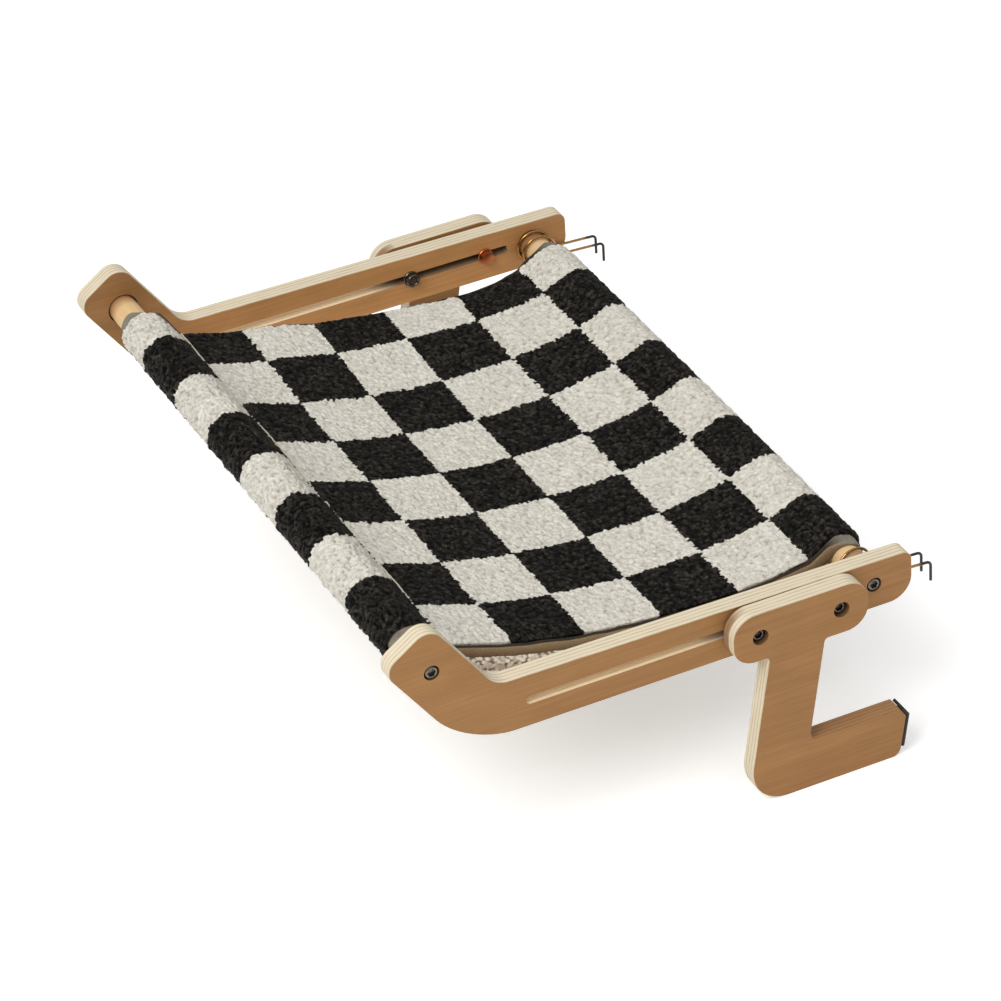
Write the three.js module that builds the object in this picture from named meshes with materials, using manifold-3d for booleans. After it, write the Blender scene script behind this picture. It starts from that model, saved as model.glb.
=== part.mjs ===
import * as THREE from 'three';
import { mergeVertices } from 'three/addons/utils/BufferGeometryUtils.js';
import Module from 'manifold-3d';

// Cat window perch: two plywood side rails joined by two dowels, with a padded fleece mat slung between them.
// A plywood clamp bracket slides along a slot in each rail and hooks under the window sill.
// Millimetres. +X runs along the rails towards the window, +Y across to the left rail and +Z up.
// The origin is under the rear dowel, midway between the rails, on the plane of the sill that they rest on.

// Side rails
const RAIL_THICKNESS = 12;
const CLEAR_WIDTH = 438;
const RAIL_REAR_HEIGHT = 32.4;
const RAIL_BEND_HEIGHT = 36;
const REAR_OVERHANG = 25.5;
const ARM_ANGLE = THREE.MathUtils.degToRad(55.2);
const ARM_WIDTH = 37.6;
const ARM_OVERHANG = 25.5;
const BOARD_ARRIS = 0.5;
const ARM_TOP_RADIUS = 11;
const ARM_TIP_RADIUS = 10;
const BEND_INNER_RADIUS = 15;
const BEND_OUTER_RADIUS = 60;
const REAR_TOP_RADIUS = 6.5;
const REAR_BOTTOM_RADIUS = 15;

// Dowels, and the bolts and threaded inserts that fix them
const DOWEL_DIAMETER = 18;
const DOWEL_SPACING = 287;
const DOWEL_RISE = 43;
const REAR_AXIS_HEIGHT = 16.5;
const DOWEL_SEAT_DEPTH = 4;
const DOWEL_CHAMFER = 1;
const BOLT_DIAMETER = 5;
const DOWEL_BOLT_HEAD = 9.2;
const DOWEL_BOLT_HEAD_HEIGHT = 4;
const DOWEL_BOLT_GRIP = 9;
const INSERT_DIAMETER = 8;
const INSERT_LENGTH = 14;
const SOCKET_ACROSS = 3.6;
const SOCKET_DEPTH = 2.2;
const BOLT_CROWN = 0.8;

// Clamp brackets, their slots, bolts, washers, nuts and rubber pads
const SLOT_HEIGHT_ABOVE_SILL = 18;
const SLOT_REAR_SETBACK = 17;
const SLOT_LENGTH = 212.5;
const BRACKET_THICKNESS = 12;
const PLATE_LENGTH = 90;
const PLATE_HEIGHT = 33.5;
const PLATE_RADIUS = 14.5;
const BRACKET_BOLT_MARGIN = 18;
const LEG_LEAN = THREE.MathUtils.degToRad(9.5);
const LEG_FRONT_ROOM = 23.7;
const LEG_REAR_ROOM = 29.3;
const SILL_ROOM = 69;
const FOOT_HEIGHT = 34.5;
const FOOT_LENGTH = 67.1;
const FOOT_CHAMFER_RUN = 5.6;
const FOOT_CHAMFER_DROP = 6.6;
const JUNCTION_RADIUS = 2.6;
const ARMPIT_RADIUS = 5;
const HEEL_RADIUS = 24;
const TOE_RADIUS = 6;
const RIGHT_BRACKET_SETBACK = 56.9;
const LEFT_BRACKET_SETBACK = 61;
const CLAMP_HEAD = 8.6;
const CLAMP_HEAD_HEIGHT = 4;
const CLAMP_RECESS = 10.4;
const CLAMP_RECESS_DEPTH = 7;
const WASHER_DIAMETER = 12;
const WASHER_THICKNESS = 1.4;
const NUT_FLANGE = 10.6;
const NUT_FLANGE_THICKNESS = 1.2;
const NUT_BARREL = 9;
const NUT_HEIGHT = 4.6;
const PAD_THICKNESS = 2;
const PAD_TOP_DROP = 2.3;
const TOE_CORNER_RADIUS = 1.5;

// Spring hooks on the rear dowel
const WIRE_DIAMETER = 1.8;
const COIL_DIAMETER = 22.2;
const COIL_WHOLE_TURNS = 2;
const LEG_BRANCH_ANGLE = THREE.MathUtils.degToRad(40);
const LEG_DROOP = THREE.MathUtils.degToRad(3);
const HOOK_REACH = 46.5;
const HOOK_DROP = 13.5;
const HOOK_BEND_RADIUS = 3;

// Padded mat: fleece top with a sleeve round each dowel, plush underside and a bound edge
const MAT_SIDE_GAP = 23;
const BINDING_THICKNESS = 4;
const SLEEVE_RADIUS = 14.4;
const FRONT_SEAM_BACK = 31.6;
const FRONT_SEAM_DROP = 16.2;
const REAR_SEAM_FORWARD = 23.7;
const REAR_SEAM_RISE = 5;
const FLEECE_THICKNESS = 7;
const LINING_THICKNESS = 8.5;
const FRONT_HANG = 31;
const REAR_HANG = 17;
const FRONT_HANG_REACH = 76;
const REAR_HANG_REACH = 68;
const SIDE_TIGHTNESS = 2.5;

// Clearances
const SEAT_GAP = 0.3;
const SLIDE_GAP = 0.3;
const SLEEVE_GAP = 0.6;
const HOOK_RAIL_GAP = 0.6;
const HOOK_MAT_GAP = 9.6;

// Counts of facets and steps
const ARC_DIVISIONS = 4;
const ROUND_SIDES = 32;
const BOLT_SIDES = 16;
const SOCKET_SIDES = 6;
const CURL_STEPS = 8;
const BEND_STEPS = 3;
const WIRE_SIDES = 5;
const DECK_STEPS = 14;
const SLEEVE_STEPS = 11;
const BORE_SIDES = 14;
const MAT_STEPS = 12;

const wasm = await Module();
wasm.setup();

// Solids for joining and cutting

function bareGeometry(geometry) {
  const bare = geometry.clone();
  bare.deleteAttribute('normal');
  bare.deleteAttribute('uv');
  return mergeVertices(bare);
}

function solidFrom(geometry) {
  const merged = bareGeometry(geometry);
  const vertProperties = new Float32Array(merged.attributes.position.array);
  const triVerts = new Uint32Array(merged.index.array);
  return new wasm.Manifold(new wasm.Mesh({ numProp: 3, vertProperties, triVerts }));
}

function geometryFrom(solid) {
  const mesh = solid.getMesh();
  const geometry = new THREE.BufferGeometry();
  geometry.setAttribute('position', new THREE.BufferAttribute(new Float32Array(mesh.vertProperties), mesh.numProp));
  geometry.setIndex(new THREE.BufferAttribute(new Uint32Array(mesh.triVerts), 1));
  geometry.computeVertexNormals();
  return geometry;
}

function cut(geometry, cutters) {
  return geometryFrom(cutters.reduce((solid, cutter) => solid.subtract(solidFrom(cutter)), solidFrom(geometry)));
}

// Outlines in the plane of the rails: x along them and z up

function point(x, z) {
  return new THREE.Vector2(x, z);
}

function roundedOutline(corners) {
  const outline = new THREE.Shape();
  corners.forEach(({ at, radius }, i) => {
    const before = corners.at(i - 1).at.clone().sub(at).normalize();
    const after = corners[(i + 1) % corners.length].at.clone().sub(at).normalize();
    const halfAngle = Math.acos(before.dot(after)) / 2;
    const reach = radius / Math.tan(halfAngle);
    const start = at.clone().addScaledVector(before, reach);
    const end = at.clone().addScaledVector(after, reach);
    const bisector = before.clone().add(after).normalize();
    const centre = at.clone().addScaledVector(bisector, radius / Math.sin(halfAngle));
    const turnsRight = before.cross(after) > 0;
    outline.absarc(centre.x, centre.y, radius, start.sub(centre).angle(), end.sub(centre).angle(), turnsRight);
  });
  return outline;
}

function board(outline, low, thickness, arris) {
  const geometry = new THREE.ExtrudeGeometry(outline, {
    depth: thickness - 2 * arris,
    bevelEnabled: arris > 0,
    bevelThickness: arris,
    bevelSize: arris,
    bevelOffset: -arris,
    bevelSegments: 1,
    curveSegments: ARC_DIVISIONS,
  });
  geometry.rotateX(Math.PI / 2);
  geometry.translate(0, low + thickness - arris, 0);
  return geometry;
}

// Round pieces and cutters, on an axis across the perch

function acrossRod(diameter, low, high, at, sides) {
  const geometry = new THREE.CylinderGeometry(diameter / 2, diameter / 2, high - low, sides);
  geometry.translate(at.x, (low + high) / 2, at.y);
  return geometry;
}

function acrossLathe(profile, sides) {
  return new THREE.LatheGeometry(profile.map(([r, y]) => new THREE.Vector2(r, y)), sides);
}

// Places shared by several pieces

const rearAxis = point(0, REAR_AXIS_HEIGHT);
const frontAxis = point(-DOWEL_SPACING, REAR_AXIS_HEIGHT + DOWEL_RISE);
const railInner = CLEAR_WIDTH / 2;
const railOuter = railInner + RAIL_THICKNESS;
const boltHole = BOLT_DIAMETER + 2 * SEAT_GAP;
const bracketInner = railOuter + SLIDE_GAP + WASHER_THICKNESS + SEAT_GAP;
const bracketOuter = bracketInner + BRACKET_THICKNESS;
const bracketBoltSpacing = PLATE_LENGTH - 2 * BRACKET_BOLT_MARGIN;
const matHalfWidth = railInner - MAT_SIDE_GAP;
const fleeceHalfWidth = matHalfWidth - BINDING_THICKNESS - SEAT_GAP;

// A piece that is modelled on the left is turned over for the right by reflecting it in the middle plane
function onSide(side, geometry) {
  if (side > 0) {
    return geometry;
  }
  const flipped = bareGeometry(geometry);
  flipped.scale(1, -1, 1);
  const corners = flipped.index.array;
  for (let i = 0; i < corners.length; i += 3) {
    [corners[i], corners[i + 1]] = [corners[i + 1], corners[i]];
  }
  flipped.computeVertexNormals();
  return flipped;
}

// Side rail: a level bar that rests on the sill, bent up into an arm that holds the front dowel

function railOutline() {
  const alongArm = point(-Math.cos(ARM_ANGLE), Math.sin(ARM_ANGLE));
  const acrossArm = point(-Math.sin(ARM_ANGLE), -Math.cos(ARM_ANGLE));
  const armEnd = frontAxis.clone().addScaledVector(alongArm, ARM_OVERHANG);
  const armTop = armEnd.clone().addScaledVector(acrossArm, -ARM_WIDTH / 2);
  const armTip = armEnd.clone().addScaledVector(acrossArm, ARM_WIDTH / 2);
  const innerBend = point(armTop.x + (armTop.y - RAIL_BEND_HEIGHT) / Math.tan(ARM_ANGLE), RAIL_BEND_HEIGHT);
  const outerBend = point(armTip.x + armTip.y / Math.tan(ARM_ANGLE), 0);
  return roundedOutline([
    { at: point(REAR_OVERHANG, 0), radius: REAR_BOTTOM_RADIUS },
    { at: point(REAR_OVERHANG, RAIL_REAR_HEIGHT), radius: REAR_TOP_RADIUS },
    { at: innerBend, radius: BEND_INNER_RADIUS },
    { at: armTop, radius: ARM_TOP_RADIUS },
    { at: armTip, radius: ARM_TIP_RADIUS },
    { at: outerBend, radius: BEND_OUTER_RADIUS },
  ]);
}

function slotHole() {
  const half = boltHole / 2;
  const rear = -SLOT_REAR_SETBACK - half;
  const front = -SLOT_REAR_SETBACK - SLOT_LENGTH + half;
  const hole = new THREE.Path();
  hole.absarc(rear, SLOT_HEIGHT_ABOVE_SILL, half, -Math.PI / 2, Math.PI / 2, false);
  hole.absarc(front, SLOT_HEIGHT_ABOVE_SILL, half, Math.PI / 2, 3 * Math.PI / 2, false);
  return hole;
}

function railGeometry(side) {
  const outline = railOutline();
  outline.holes.push(slotHole());
  const plain = board(outline, railInner, RAIL_THICKNESS, BOARD_ARRIS);
  const headRecess = DOWEL_BOLT_HEAD + 2 * SEAT_GAP;
  const headDepth = DOWEL_BOLT_HEAD_HEIGHT + SEAT_GAP;
  const seat = DOWEL_DIAMETER + 2 * SEAT_GAP;
  const overrun = RAIL_THICKNESS;
  const cutters = [frontAxis, rearAxis].flatMap((axis) => [
    acrossRod(seat, railInner - overrun, railInner + DOWEL_SEAT_DEPTH, axis, ROUND_SIDES),
    acrossRod(boltHole, railInner - overrun, railOuter + overrun, axis, BOLT_SIDES),
    acrossRod(headRecess, railOuter - headDepth, railOuter + overrun, axis, ROUND_SIDES),
  ]);
  return onSide(side, cut(plain, cutters));
}

// Dowel, with a blind bore for a threaded insert in each end

function dowelGeometry() {
  const end = railInner + DOWEL_SEAT_DEPTH - SEAT_GAP;
  const radius = DOWEL_DIAMETER / 2;
  const bore = INSERT_DIAMETER / 2 + SEAT_GAP;
  const boreFloor = end - INSERT_LENGTH - SEAT_GAP;
  return acrossLathe([
    [0, -boreFloor],
    [bore, -boreFloor],
    [bore, -end],
    [radius - DOWEL_CHAMFER, -end],
    [radius, -end + DOWEL_CHAMFER],
    [radius, end - DOWEL_CHAMFER],
    [radius - DOWEL_CHAMFER, end],
    [bore, end],
    [bore, boreFloor],
    [0, boreFloor],
  ], ROUND_SIDES);
}

// Socket-head bolt lying across the perch, with its head's outer face at headOuter and its tip at tip

function boltGeometry(side, headDiameter, headHeight, headOuter, tip) {
  const headInner = headOuter - headHeight;
  const body = acrossLathe([
    [0, tip],
    [BOLT_DIAMETER / 2, tip],
    [BOLT_DIAMETER / 2, headInner],
    [headDiameter / 2, headInner],
    [headDiameter / 2, headOuter - BOLT_CROWN],
    [headDiameter / 2 - BOLT_CROWN, headOuter],
    [0, headOuter],
  ], BOLT_SIDES);
  const socket = acrossRod(SOCKET_ACROSS, headOuter - SOCKET_DEPTH, headOuter + SOCKET_DEPTH, point(0, 0), SOCKET_SIDES);
  return onSide(side, cut(body, [socket]));
}

function insertGeometry(side) {
  const outer = railInner + DOWEL_SEAT_DEPTH - SEAT_GAP;
  const inner = outer - INSERT_LENGTH;
  return onSide(side, acrossLathe([
    [boltHole / 2, inner],
    [INSERT_DIAMETER / 2, inner],
    [INSERT_DIAMETER / 2, outer],
    [boltHole / 2, outer],
    [boltHole / 2, inner],
  ], BOLT_SIDES));
}

function nutGeometry(side) {
  const flangeOuter = railInner - SEAT_GAP;
  const barrelEnd = flangeOuter - NUT_HEIGHT;
  return onSide(side, acrossLathe([
    [boltHole / 2, barrelEnd],
    [NUT_BARREL / 2, barrelEnd],
    [NUT_BARREL / 2, flangeOuter - NUT_FLANGE_THICKNESS],
    [NUT_FLANGE / 2, flangeOuter - NUT_FLANGE_THICKNESS],
    [NUT_FLANGE / 2, flangeOuter],
    [boltHole / 2, flangeOuter],
    [boltHole / 2, barrelEnd],
  ], BOLT_SIDES));
}

// Washer that keeps the bracket off the rail, so that it slides without rubbing the lacquer

function washerGeometry(side) {
  const inner = railOuter + SLIDE_GAP;
  const outer = inner + WASHER_THICKNESS;
  return onSide(side, acrossLathe([
    [boltHole / 2, inner],
    [WASHER_DIAMETER / 2, inner],
    [WASHER_DIAMETER / 2, outer],
    [boltHole / 2, outer],
    [boltHole / 2, inner],
  ], BOLT_SIDES));
}

// Clamp bracket: a plate bolted through the rail's slot, a leaning leg and a foot that reaches under the sill.
// Its outline is drawn about the middle of its plate.

const plateTop = SLOT_HEIGHT_ABOVE_SILL + PLATE_HEIGHT / 2;
const plateBottom = SLOT_HEIGHT_ABOVE_SILL - PLATE_HEIGHT / 2;
const footTop = -SILL_ROOM;
const footBottom = footTop - FOOT_HEIGHT;

function legSillEdge(z) {
  return PLATE_LENGTH / 2 - LEG_REAR_ROOM + (z - plateBottom) * Math.tan(LEG_LEAN);
}

function legHeelEdge(z) {
  return -PLATE_LENGTH / 2 + LEG_FRONT_ROOM + (z - plateBottom) * Math.tan(LEG_LEAN);
}

function footTip(z) {
  return legSillEdge(z) + FOOT_LENGTH;
}

const toeTop = point(footTip(footTop) - FOOT_CHAMFER_RUN, footTop);
const toeShoulder = point(footTip(footTop - FOOT_CHAMFER_DROP), footTop - FOOT_CHAMFER_DROP);
const toeBottom = point(footTip(footBottom), footBottom);

function bracketOutline() {
  const halfPlate = PLATE_LENGTH / 2;
  return roundedOutline([
    { at: point(-halfPlate, plateTop), radius: PLATE_RADIUS },
    { at: point(-halfPlate, plateBottom), radius: PLATE_RADIUS },
    { at: point(legHeelEdge(plateBottom), plateBottom), radius: JUNCTION_RADIUS },
    { at: point(legHeelEdge(footBottom), footBottom), radius: HEEL_RADIUS },
    { at: toeBottom, radius: TOE_RADIUS },
    { at: toeShoulder, radius: TOE_CORNER_RADIUS },
    { at: toeTop, radius: TOE_CORNER_RADIUS },
    { at: point(legSillEdge(footTop), footTop), radius: ARMPIT_RADIUS },
    { at: point(legSillEdge(plateBottom), plateBottom), radius: JUNCTION_RADIUS },
    { at: point(halfPlate, plateBottom), radius: PLATE_RADIUS },
    { at: point(halfPlate, plateTop), radius: PLATE_RADIUS },
  ]);
}

function bracketGeometry(side) {
  const overrun = BRACKET_THICKNESS;
  const cutters = [-1, 1].flatMap((end) => {
    const at = point(end * bracketBoltSpacing / 2, SLOT_HEIGHT_ABOVE_SILL);
    return [
      acrossRod(boltHole, bracketInner - overrun, bracketOuter + overrun, at, BOLT_SIDES),
      acrossRod(CLAMP_RECESS, bracketOuter - CLAMP_RECESS_DEPTH, bracketOuter + overrun, at, ROUND_SIDES),
    ];
  });
  return onSide(side, cut(board(bracketOutline(), bracketInner, BRACKET_THICKNESS, BOARD_ARRIS), cutters));
}

// Rubber pad bent round the toe of the foot, where the foot meets the wall

function offsetLine(points, distance) {
  return points.map((here, i) => {
    const before = here.clone().sub(points[Math.max(i - 1, 0)]);
    const after = points[Math.min(i + 1, points.length - 1)].clone().sub(here);
    const normals = [before, after]
      .filter((run) => run.lengthSq() > 0)
      .map((run) => point(-run.y, run.x).normalize());
    const mitre = normals.reduce((sum, normal) => sum.add(normal), point(0, 0)).normalize();
    return here.clone().addScaledVector(mitre, distance / mitre.dot(normals[0]));
  });
}

function padGeometry(side) {
  const endRoom = TOE_RADIUS;
  const downChamfer = toeShoulder.clone().sub(toeTop).setLength(PAD_TOP_DROP);
  const padTop = toeTop.clone().add(downChamfer);
  const face = [padTop, toeShoulder, point(footTip(footBottom + endRoom), footBottom + endRoom)];
  const innerLine = offsetLine(face, SEAT_GAP);
  const outerLine = offsetLine(face, SEAT_GAP + PAD_THICKNESS);
  const outline = new THREE.Shape([...innerLine, ...outerLine.reverse()]);
  return onSide(side, board(outline, bracketInner, BRACKET_THICKNESS, 0));
}

// Spring hook: one wire from a prong, along a leg, round the dowel and out along a second leg to its own prong

function springHookPath() {
  const coilRadius = COIL_DIAMETER / 2;
  const outerPlane = railInner - HOOK_RAIL_GAP - WIRE_DIAMETER / 2;
  const innerPlane = matHalfWidth + HOOK_MAT_GAP + WIRE_DIAMETER / 2;
  const onCoil = (angle) => point(Math.cos(angle), Math.sin(angle)).multiplyScalar(coilRadius).add(rearAxis);

  // The outer leg branches from the rising side of the coil and bends over to run out, drooping a little
  const branch = onCoil(-LEG_BRANCH_ANGLE);
  const branchHeading = Math.PI / 2 - LEG_BRANCH_ANGLE;
  const overBend = bendPoints(branch, branchHeading, -LEG_DROOP, HOOK_BEND_RADIUS);
  const legStart = overBend.at(-1);
  const legHeight = (x) => legStart.y - (x - legStart.x) * Math.tan(LEG_DROOP);

  // The inner leg comes down the coil's rear and bends out to the same height
  const rearSide = rearAxis.x + coilRadius;
  const underBendRise = HOOK_BEND_RADIUS * Math.cos(LEG_DROOP);
  const fallEnd = point(rearSide, legHeight(rearSide + HOOK_BEND_RADIUS) + underBendRise);
  const underBend = bendPoints(fallEnd, -Math.PI / 2, -LEG_DROOP, HOOK_BEND_RADIUS);

  const prongTop = point(HOOK_REACH - HOOK_BEND_RADIUS, legHeight(HOOK_REACH - HOOK_BEND_RADIUS));
  const prongBend = bendPoints(prongTop, -LEG_DROOP, -Math.PI / 2, HOOK_BEND_RADIUS);
  const prongEnd = point(prongBend.at(-1).x, legHeight(HOOK_REACH) - HOOK_DROP);
  const prong = [...prongBend, prongEnd];

  const sweep = 2 * Math.PI * COIL_WHOLE_TURNS - LEG_BRANCH_ANGLE;
  const steps = Math.round(CURL_STEPS * sweep / (2 * Math.PI));
  const coil = Array.from({ length: steps - 1 }, (_, i) => {
    const share = (i + 1) / steps;
    const at = onCoil(sweep * (1 - share));
    const y = THREE.MathUtils.lerp(outerPlane, innerPlane, THREE.MathUtils.smoothstep(share, 0, 1));
    return new THREE.Vector3(at.x, y, at.y);
  });
  const inPlane = (points, y) => points.map((at) => new THREE.Vector3(at.x, y, at.y));
  return [
    ...inPlane([...overBend, ...prong], outerPlane).reverse(),
    ...coil,
    ...inPlane([onCoil(0), ...underBend, ...prong], innerPlane),
  ];
}

// Points of a bend in the plane of the rails, from one heading to another
function bendPoints(from, heading, newHeading, radius) {
  const way = Math.sign(newHeading - heading);
  const side = (angle) => point(-Math.sin(angle), Math.cos(angle)).multiplyScalar(way * radius);
  const centre = from.clone().add(side(heading));
  return Array.from({ length: BEND_STEPS + 1 }, (_, i) => (
    centre.clone().sub(side(THREE.MathUtils.lerp(heading, newHeading, i / BEND_STEPS)))
  ));
}

// Tube of a few flat sides along a line of points, closed at both ends
function wireGeometry(path, diameter, sides) {
  const positions = [];
  const index = [];
  let up = new THREE.Vector3(0, 1, 0);
  path.forEach((here, i) => {
    const before = here.clone().sub(path[Math.max(i - 1, 0)]).normalize();
    const after = path[Math.min(i + 1, path.length - 1)].clone().sub(here).normalize();
    const along = before.clone().add(after).normalize();
    const stretch = 1 / Math.max(along.dot(after.lengthSq() > 0 ? after : before), Math.SQRT1_2);
    up = up.addScaledVector(along, -up.dot(along)).normalize();
    const out = along.clone().cross(up);
    const kink = after.clone().sub(before);
    const bendWay = kink.lengthSq() > 0 ? kink.normalize() : out;
    for (let side = 0; side < sides; side += 1) {
      const angle = 2 * Math.PI * side / sides;
      const offset = up.clone().multiplyScalar(Math.cos(angle)).addScaledVector(out, Math.sin(angle));
      offset.addScaledVector(bendWay, offset.dot(bendWay) * (stretch - 1));
      positions.push(...here.clone().addScaledVector(offset, diameter / 2).toArray());
    }
  });
  for (let ring = 0; ring < path.length - 1; ring += 1) {
    for (let side = 0; side < sides; side += 1) {
      const a = ring * sides + side;
      const b = ring * sides + (side + 1) % sides;
      index.push(a, b, a + sides, b, b + sides, a + sides);
    }
  }
  const last = (path.length - 1) * sides;
  for (let side = 1; side < sides - 1; side += 1) {
    index.push(0, side + 1, side, last, last + side, last + side + 1);
  }
  const geometry = new THREE.BufferGeometry();
  geometry.setAttribute('position', new THREE.Float32BufferAttribute(positions, 3));
  geometry.setIndex(index);
  geometry.computeVertexNormals();
  return geometry;
}

// Least gap between stretches of the wire that are not neighbours along it
function leastSelfGap(path, diameter) {
  const samplesPerRun = 6;
  const samples = [];
  let travelled = 0;
  for (let i = 0; i < path.length - 1; i += 1) {
    const run = path[i].distanceTo(path[i + 1]);
    for (let j = 0; j < samplesPerRun; j += 1) {
      samples.push({ at: path[i].clone().lerp(path[i + 1], j / samplesPerRun), s: travelled + run * j / samplesPerRun });
    }
    travelled += run;
  }
  let least = Infinity;
  samples.forEach((a) => samples.forEach((b) => {
    if (b.s - a.s > 4 * diameter) {
      least = Math.min(least, a.at.distanceTo(b.at) - diameter);
    }
  }));
  return least;
}

// Mat: the slung deck's top line runs between the seams that close the two sleeves

const frontSeam = point(frontAxis.x + FRONT_SEAM_BACK, frontAxis.y - FRONT_SEAM_DROP);
const rearSeam = point(rearAxis.x - REAR_SEAM_FORWARD, rearAxis.y + REAR_SEAM_RISE);
const deckLine = new THREE.CubicBezierCurve(
  rearSeam,
  point(rearSeam.x - REAR_HANG_REACH, rearSeam.y - REAR_HANG),
  point(frontSeam.x + FRONT_HANG_REACH, frontSeam.y - FRONT_HANG),
  frontSeam,
);

function deckPoints(depth) {
  return Array.from({ length: DECK_STEPS + 1 }, (_, i) => {
    const share = i / DECK_STEPS;
    const run = deckLine.getTangent(share);
    return deckLine.getPoint(share).addScaledVector(point(-run.y, run.x), depth);
  });
}

function sleevePoints(axis, radius, fromSeam, toSeam) {
  const tangentAngle = (seam, way) => {
    const reach = seam.clone().sub(axis);
    return reach.angle() + way * Math.acos(radius / reach.length());
  };
  const start = tangentAngle(fromSeam, 1);
  const end = tangentAngle(toSeam, -1);
  const sweep = THREE.MathUtils.euclideanModulo(end - start, 2 * Math.PI);
  return Array.from({ length: SLEEVE_STEPS + 1 }, (_, i) => {
    const angle = start + sweep * i / SLEEVE_STEPS;
    return point(axis.x + radius * Math.cos(angle), axis.y + radius * Math.sin(angle));
  });
}

function ringPoints(centre, radius, sides) {
  return Array.from({ length: sides }, (_, i) => {
    const angle = -2 * Math.PI * i / sides;
    return point(centre.x + radius * Math.cos(angle), centre.y + radius * Math.sin(angle));
  });
}

function fleeceOutline(depth) {
  const top = deckPoints(0);
  const under = deckPoints(depth).reverse();
  const outline = new THREE.Shape([
    ...sleevePoints(rearAxis, SLEEVE_RADIUS, under.at(-1), top[0]),
    ...top,
    ...sleevePoints(frontAxis, SLEEVE_RADIUS, top.at(-1), under[0]),
    ...under,
  ]);
  [frontAxis, rearAxis].forEach((axis) => {
    outline.holes.push(new THREE.Path(ringPoints(axis, DOWEL_DIAMETER / 2 + SLEEVE_GAP, BORE_SIDES)));
  });
  return outline;
}

function liningOutline() {
  const hug = deckPoints(FLEECE_THICKNESS + SEAT_GAP);
  const under = deckPoints(FLEECE_THICKNESS + SEAT_GAP + LINING_THICKNESS).reverse();
  return new THREE.Shape([...hug, ...under]);
}

// Cloth slab across the perch, whose side edges are held a little tighter than its middle
function clothGeometry(outline, halfWidth) {
  const geometry = new THREE.ExtrudeGeometry(outline, {
    depth: 2 * halfWidth,
    steps: MAT_STEPS,
    bevelEnabled: false,
  });
  geometry.rotateX(Math.PI / 2);
  geometry.translate(0, halfWidth, 0);
  return tightenSides(geometry);
}

function tightenSides(geometry) {
  const place = geometry.attributes.position;
  for (let i = 0; i < place.count; i += 1) {
    const share = THREE.MathUtils.clamp((place.getX(i) - frontSeam.x) / (rearSeam.x - frontSeam.x), 0, 1);
    const edgeShare = Math.abs(place.getY(i)) / matHalfWidth;
    place.setZ(i, place.getZ(i) + SIDE_TIGHTNESS * Math.sin(Math.PI * share) * edgeShare ** 2);
  }
  return geometry;
}

function bindingGeometry(side) {
  const slab = board(fleeceOutline(FLEECE_THICKNESS + LINING_THICKNESS / 2), fleeceHalfWidth + SEAT_GAP, BINDING_THICKNESS, 0);
  return onSide(side, tightenSides(slab));
}

// Finishes

function finish(colour, roughness, metalness) {
  return new THREE.MeshStandardMaterial({ color: colour, roughness, metalness });
}

const plywood = () => finish(0xa87b4f, 0.6, 0);
const dowelWood = () => finish(0xd9b27c, 0.55, 0);
const darkSteel = () => finish(0x4a4640, 0.4, 0.9);
const bronzeWire = () => finish(0x9a7b4e, 0.3, 0.95);
const zincSteel = () => finish(0x8f8a80, 0.4, 0.9);
const blackRubber = () => finish(0x1b1918, 0.85, 0);
const fleece = () => finish(0xdedad2, 0.95, 0);
const plush = () => finish(0xd8d3c8, 0.95, 0);
const tape = () => finish(0x857b68, 0.9, 0);

// Assembly

const perch = new THREE.Group();

function place(parent, name, geometry, material, x = 0, z = 0) {
  const mesh = new THREE.Mesh(geometry, material);
  mesh.name = name;
  mesh.position.set(x, 0, z);
  parent.add(mesh);
}

const hookPath = springHookPath();
console.log(`spring hook: least gap to itself ${leastSelfGap(hookPath, WIRE_DIAMETER).toFixed(2)} mm`);

place(perch, 'front_dowel', dowelGeometry(), dowelWood(), frontAxis.x, frontAxis.y);
place(perch, 'rear_dowel', dowelGeometry(), dowelWood(), rearAxis.x, rearAxis.y);
place(perch, 'fleece_mat', clothGeometry(fleeceOutline(FLEECE_THICKNESS), fleeceHalfWidth), fleece());
place(perch, 'mat_underside', clothGeometry(liningOutline(), fleeceHalfWidth), plush());

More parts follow.
